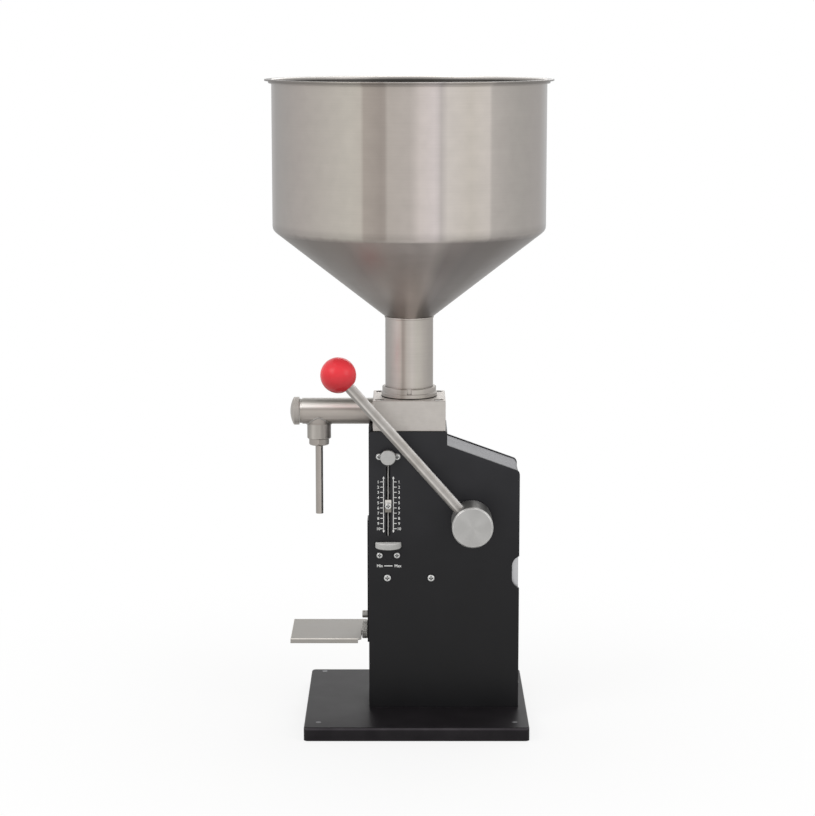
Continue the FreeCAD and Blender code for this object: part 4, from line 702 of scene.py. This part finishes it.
# the third value at a corner is how far back its rounding starts
bowl = {"wall": 150.0, "inner": 148.5, "knee": 548.5, "foot": 452.1, "neck": 26.5,
        "neckInner": 25.0, "rim": 157.6, "rimTop": 711.7, "rimUnder": 709.9, "bead": 153.4,
        "beadUnder": 707.3, "bend": 4.4, "sheetUp": 0.8, "tight": 0.3, "beadSoft": 0.9,
        "rimSoft": 0.7, "topSoft": 0.6, "lipSoft": 1.4}
bowlProfile = [
    (bowl["neckInner"], bowl["foot"]), (bowl["neck"], bowl["foot"]),
    (bowl["wall"], bowl["knee"], bowl["bend"]),
    (bowl["wall"], bowl["beadUnder"], bowl["tight"]),
    (bowl["bead"], bowl["beadUnder"], bowl["beadSoft"]),
    (bowl["bead"], bowl["rimUnder"], bowl["tight"]),
    (bowl["rim"], bowl["rimUnder"], bowl["rimSoft"]),
    (bowl["rim"], bowl["rimTop"], bowl["topSoft"]),
    (bowl["inner"], bowl["rimTop"], bowl["lipSoft"]),
    (bowl["inner"], bowl["knee"] + bowl["sheetUp"], bowl["bend"]),
    (bowl["neckInner"], bowl["foot"] + bowl["sheetUp"], bowl["tight"]),
]
dress(turned("hopperBowl", bowlProfile, (0, 0, 0), (0, 0, 1), segments=192), bowlSheet, "frame",
      "hopper_steel", "hopper_bowl")

# the neck ends in a low weld bead under the cone
neck = {"radius": 26.5, "wall": 1.5, "low": 357.5, "high": 452.1, "weld": 0.7,
        "weldFrom": 2.0, "weldFull": 1.2, "weldTo": 0.2, "weldEnd": 0.4, "weldIn": 0.2,
        "footSoft": 0.4, "weldSoft": 0.5}
weldOut = neck["radius"] + neck["weld"]
neckProfile = [
    (neck["radius"] - neck["wall"], neck["low"]), (neck["radius"], neck["low"]),
    (neck["radius"], neck["high"] - neck["weldFrom"], neck["footSoft"]),
    (weldOut, neck["high"] - neck["weldFull"], neck["weldSoft"]),
    (weldOut, neck["high"] + neck["weldTo"], neck["weldSoft"]),
    (neck["radius"] - neck["weldIn"], neck["high"] + neck["weldEnd"]),
    (neck["radius"] - neck["wall"], neck["high"]),
]
dress(turned("hopperNeckTube", neckProfile, (0, 0, 0), (0, 0, 1)), neckSteel, "frame",
      "satin_steel", "hopper_neck")
print("hopper made")

# the boss meets the discharge tube in a saddle-shaped weld
welds = {"bossX": -100.4, "boss": 13.25, "tube": 14.5, "axisZ": 345.8, "bead": 1.0,
         "ripple": 0.08, "points": 144}
saddle = []
for k in range(welds["points"]):
    turn = 2 * math.pi * k / welds["points"]
    x, y = welds["boss"] * math.cos(turn), welds["boss"] * math.sin(turn)
    saddle.append(Vector((welds["bossX"] + x, y,
                          welds["axisZ"] - math.sqrt(welds["tube"] ** 2 - y ** 2))))
dress(roundAlong("bossWeld", saddle, welds["bead"], welds["ripple"], closed=True), neckSteel,
      "frame", "satin_steel")
print("weld laid")

# valve springs shorten as their poppets open; each is a coil of its listed length, fixed to the
# frame
springs = {
    "inlet": {"foot": (0, 0, 360.2), "way": (0, 0, 1), "long": 20.6, "turns": 4, "travel": 4.0},
    "outlet": {"foot": (-112.8, 0, 345.8), "way": (1, 0, 0), "long": 59.4, "turns": 6,
               "travel": 5.0},
}
coil = {"radius": 5.2, "wire": 0.6, "slack": 0.2, "steps": 32}
for name, spring in springs.items():
    turn = Vector((0, 0, 1)).rotation_difference(Vector(spring["way"])).to_matrix()
    foot = Vector(spring["foot"])
    count = spring["turns"] * coil["steps"]
    rise = spring["long"] - 2 * coil["wire"]
    path = []
    for k in range(count + 1):
        angle = 2 * math.pi * k / coil["steps"]
        path.append(foot + turn @ Vector((coil["radius"] * math.cos(angle),
                                          coil["radius"] * math.sin(angle),
                                          coil["wire"] + rise * k / count)))
    piece = dress(roundAlong(name + "Coil", path, coil["wire"]), springSteel, "frame",
                  "spring_steel", name + "_spring")
    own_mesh(piece)
print("springs coiled")

lever = {"pivot": (69.0, -61.0, 230.0), "length": 220.3, "angle": 48.5, "rod": 6.0, "ball": 19.6,
         "flat": 2.0, "hole": 12, "flatSoft": 0.8, "clear": 0.3, "step": 5, "rodFrom": 11.2,
         "rodTo": 216.5, "chamfer": 0.4}
slant = math.radians(lever["angle"])
outward = Vector((-math.cos(slant), 0, math.sin(slant)))
pivot = Vector(lever["pivot"])
ballCentre = pivot + outward * lever["length"]
flatHeight = lever["flat"] - lever["ball"]
flatRadius = math.sqrt(lever["ball"] ** 2 - flatHeight ** 2)
arc = [(lever["ball"] * math.sin(math.radians(a)), -lever["ball"] * math.cos(math.radians(a)))
       for a in range(0, 180, lever["step"])]
ballProfile = [(lever["rod"], flatHeight + lever["hole"]), (lever["rod"], flatHeight),
               (flatRadius, flatHeight, lever["flatSoft"])]
ballProfile += [(r, h) for r, h in arc if h > flatHeight + lever["clear"]]
ballProfile += [(0, lever["ball"]), (0, flatHeight + lever["hole"])]
dress(turned("ballKnob", ballProfile, ballCentre, outward), ballRed, "lever", "red_ball",
      "ball_knob")

rodProfile = [(0, lever["rodFrom"]), (lever["rod"] - lever["chamfer"], lever["rodFrom"]),
              (lever["rod"], lever["rodFrom"] + lever["chamfer"]),
              (lever["rod"], lever["rodTo"]), (0, lever["rodTo"])]
dress(turned("leverBar", rodProfile, pivot, outward, segments=64), leverSteel, "lever",
      "satin_steel", "lever_rod")
print("lever made")

wheel = {"centre": (-23.2, -36.4, 198.2), "bore": 1.32, "radius": 14.5, "thick": 6.4,
         "edge": 0.7, "ribs": 72, "ribDeep": 0.35, "ribFrom": 0.1, "segments": 432}
wheelFace = wheel["radius"] - wheel["edge"]
wheelProfile = [(wheel["bore"], 0), (wheelFace, 0), (wheel["radius"], wheel["edge"]),
                (wheel["radius"], wheel["thick"] - wheel["edge"]), (wheelFace, wheel["thick"]),
                (wheel["bore"], wheel["thick"])]
dress(turned("doseWheel", wheelProfile, wheel["centre"], (0, 0, 1), segments=wheel["segments"],
             flutes={"from": wheel["radius"] - wheel["ribFrom"], "depth": wheel["ribDeep"],
                     "count": wheel["ribs"]}),
      wheelPaint, "dial", "bright_steel", "thumbwheel")
print("dose wheel made")

scale = {"panel": -39.0, "proud": 0.06, "sunk": 0.02, "lineX": (-28.3, -17.5), "lineTop": 276.5,
         "lineBottom": 218.0, "lineWide": 0.8, "arrow": 2.6, "tick": 3.6, "tickWide": 0.75,
         "firstTick": 272.8, "division": 5.86, "marks": 10, "numberX": (-34.2, -11.2),
         "numberSize": 4.4, "numberHeavy": 0.06, "numberDrop": 0.36,
         "words": {"Min": -32.6, "Max": -12.6}, "wordsZ": 176.4, "wordSize": 4.5,
         "wordHeavy": 0.09, "letterThick": 0.03, "dash": (-27.6, -18.6, 177.4, 178.4)}


def printOn(mesh, outline):
    # one flat patch of ink; the outline is (x, z) in mm
    front = scale["panel"] - scale["proud"]
    behind = scale["panel"] + scale["sunk"]
    ring = [mesh.verts.new(Vector((x, front, z)) * mm) for x, z in outline]
    rear = [mesh.verts.new(Vector((x, behind, z)) * mm) for x, z in outline]
    mesh.faces.new(ring)
    for k in range(len(ring)):
        n = (k + 1) % len(ring)
        mesh.faces.new([ring[k], rear[k], rear[n], ring[n]])


def bar(x0, x1, z0, z1):
    return [(x0, z0), (x1, z0), (x1, z1), (x0, z1)]


def lettering(mesh, words, x, z, size, heavy):
    curve = bpy.data.curves.new("words", "FONT")
    curve.body = words
    curve.size = size * mm
    curve.align_x = "CENTER"
    curve.extrude = scale["letterThick"] * mm
    curve.offset = heavy * mm
    holder = bpy.data.objects.new("words", curve)
    bpy.context.scene.collection.objects.link(holder)
    holder.location = Vector((x, scale["panel"] - scale["letterThick"], z)) * mm
    holder.rotation_euler = (math.radians(90), 0, 0)
    bpy.context.view_layer.update()
    made = bpy.data.meshes.new_from_object(
        holder.evaluated_get(bpy.context.evaluated_depsgraph_get()))
    made.transform(holder.matrix_world)
    mesh.from_mesh(made)
    bpy.data.meshes.remove(made)
    bpy.data.objects.remove(holder)
    bpy.data.curves.remove(curve)


ink = bmesh.new()
tickHeights = [scale["firstTick"] - k * scale["division"] for k in range(scale["marks"])]
for side, x in zip((-1, 1), scale["lineX"]):
    wide = scale["lineWide"] / 2
    printOn(ink, bar(x - wide, x + wide, scale["lineBottom"], scale["lineTop"]))
    for end, up in ((scale["lineTop"], 1), (scale["lineBottom"], -1)):
        a = scale["arrow"]
        printOn(ink, [(x - a * 0.5, end), (x, end + up * a), (x + a * 0.5, end)][::up])
    for z in tickHeights:
        inner, outer = sorted((x, x + side * scale["tick"]))
        printOn(ink, bar(inner, outer, z - scale["tickWide"] / 2, z + scale["tickWide"] / 2))
for k, z in enumerate(tickHeights):
    foot = z - scale["numberSize"] * scale["numberDrop"]
    for x in scale["numberX"]:
        lettering(ink, str(k + 1), x, foot, scale["numberSize"], scale["numberHeavy"])
for word, x in scale["words"].items():
    lettering(ink, word, x, scale["wordsZ"], scale["wordSize"], scale["wordHeavy"])
printOn(ink, bar(*scale["dash"]))
dress(finishMesh("scalePrint", ink), inkWhite, "frame", "seal_rubber")
print("scale printed")
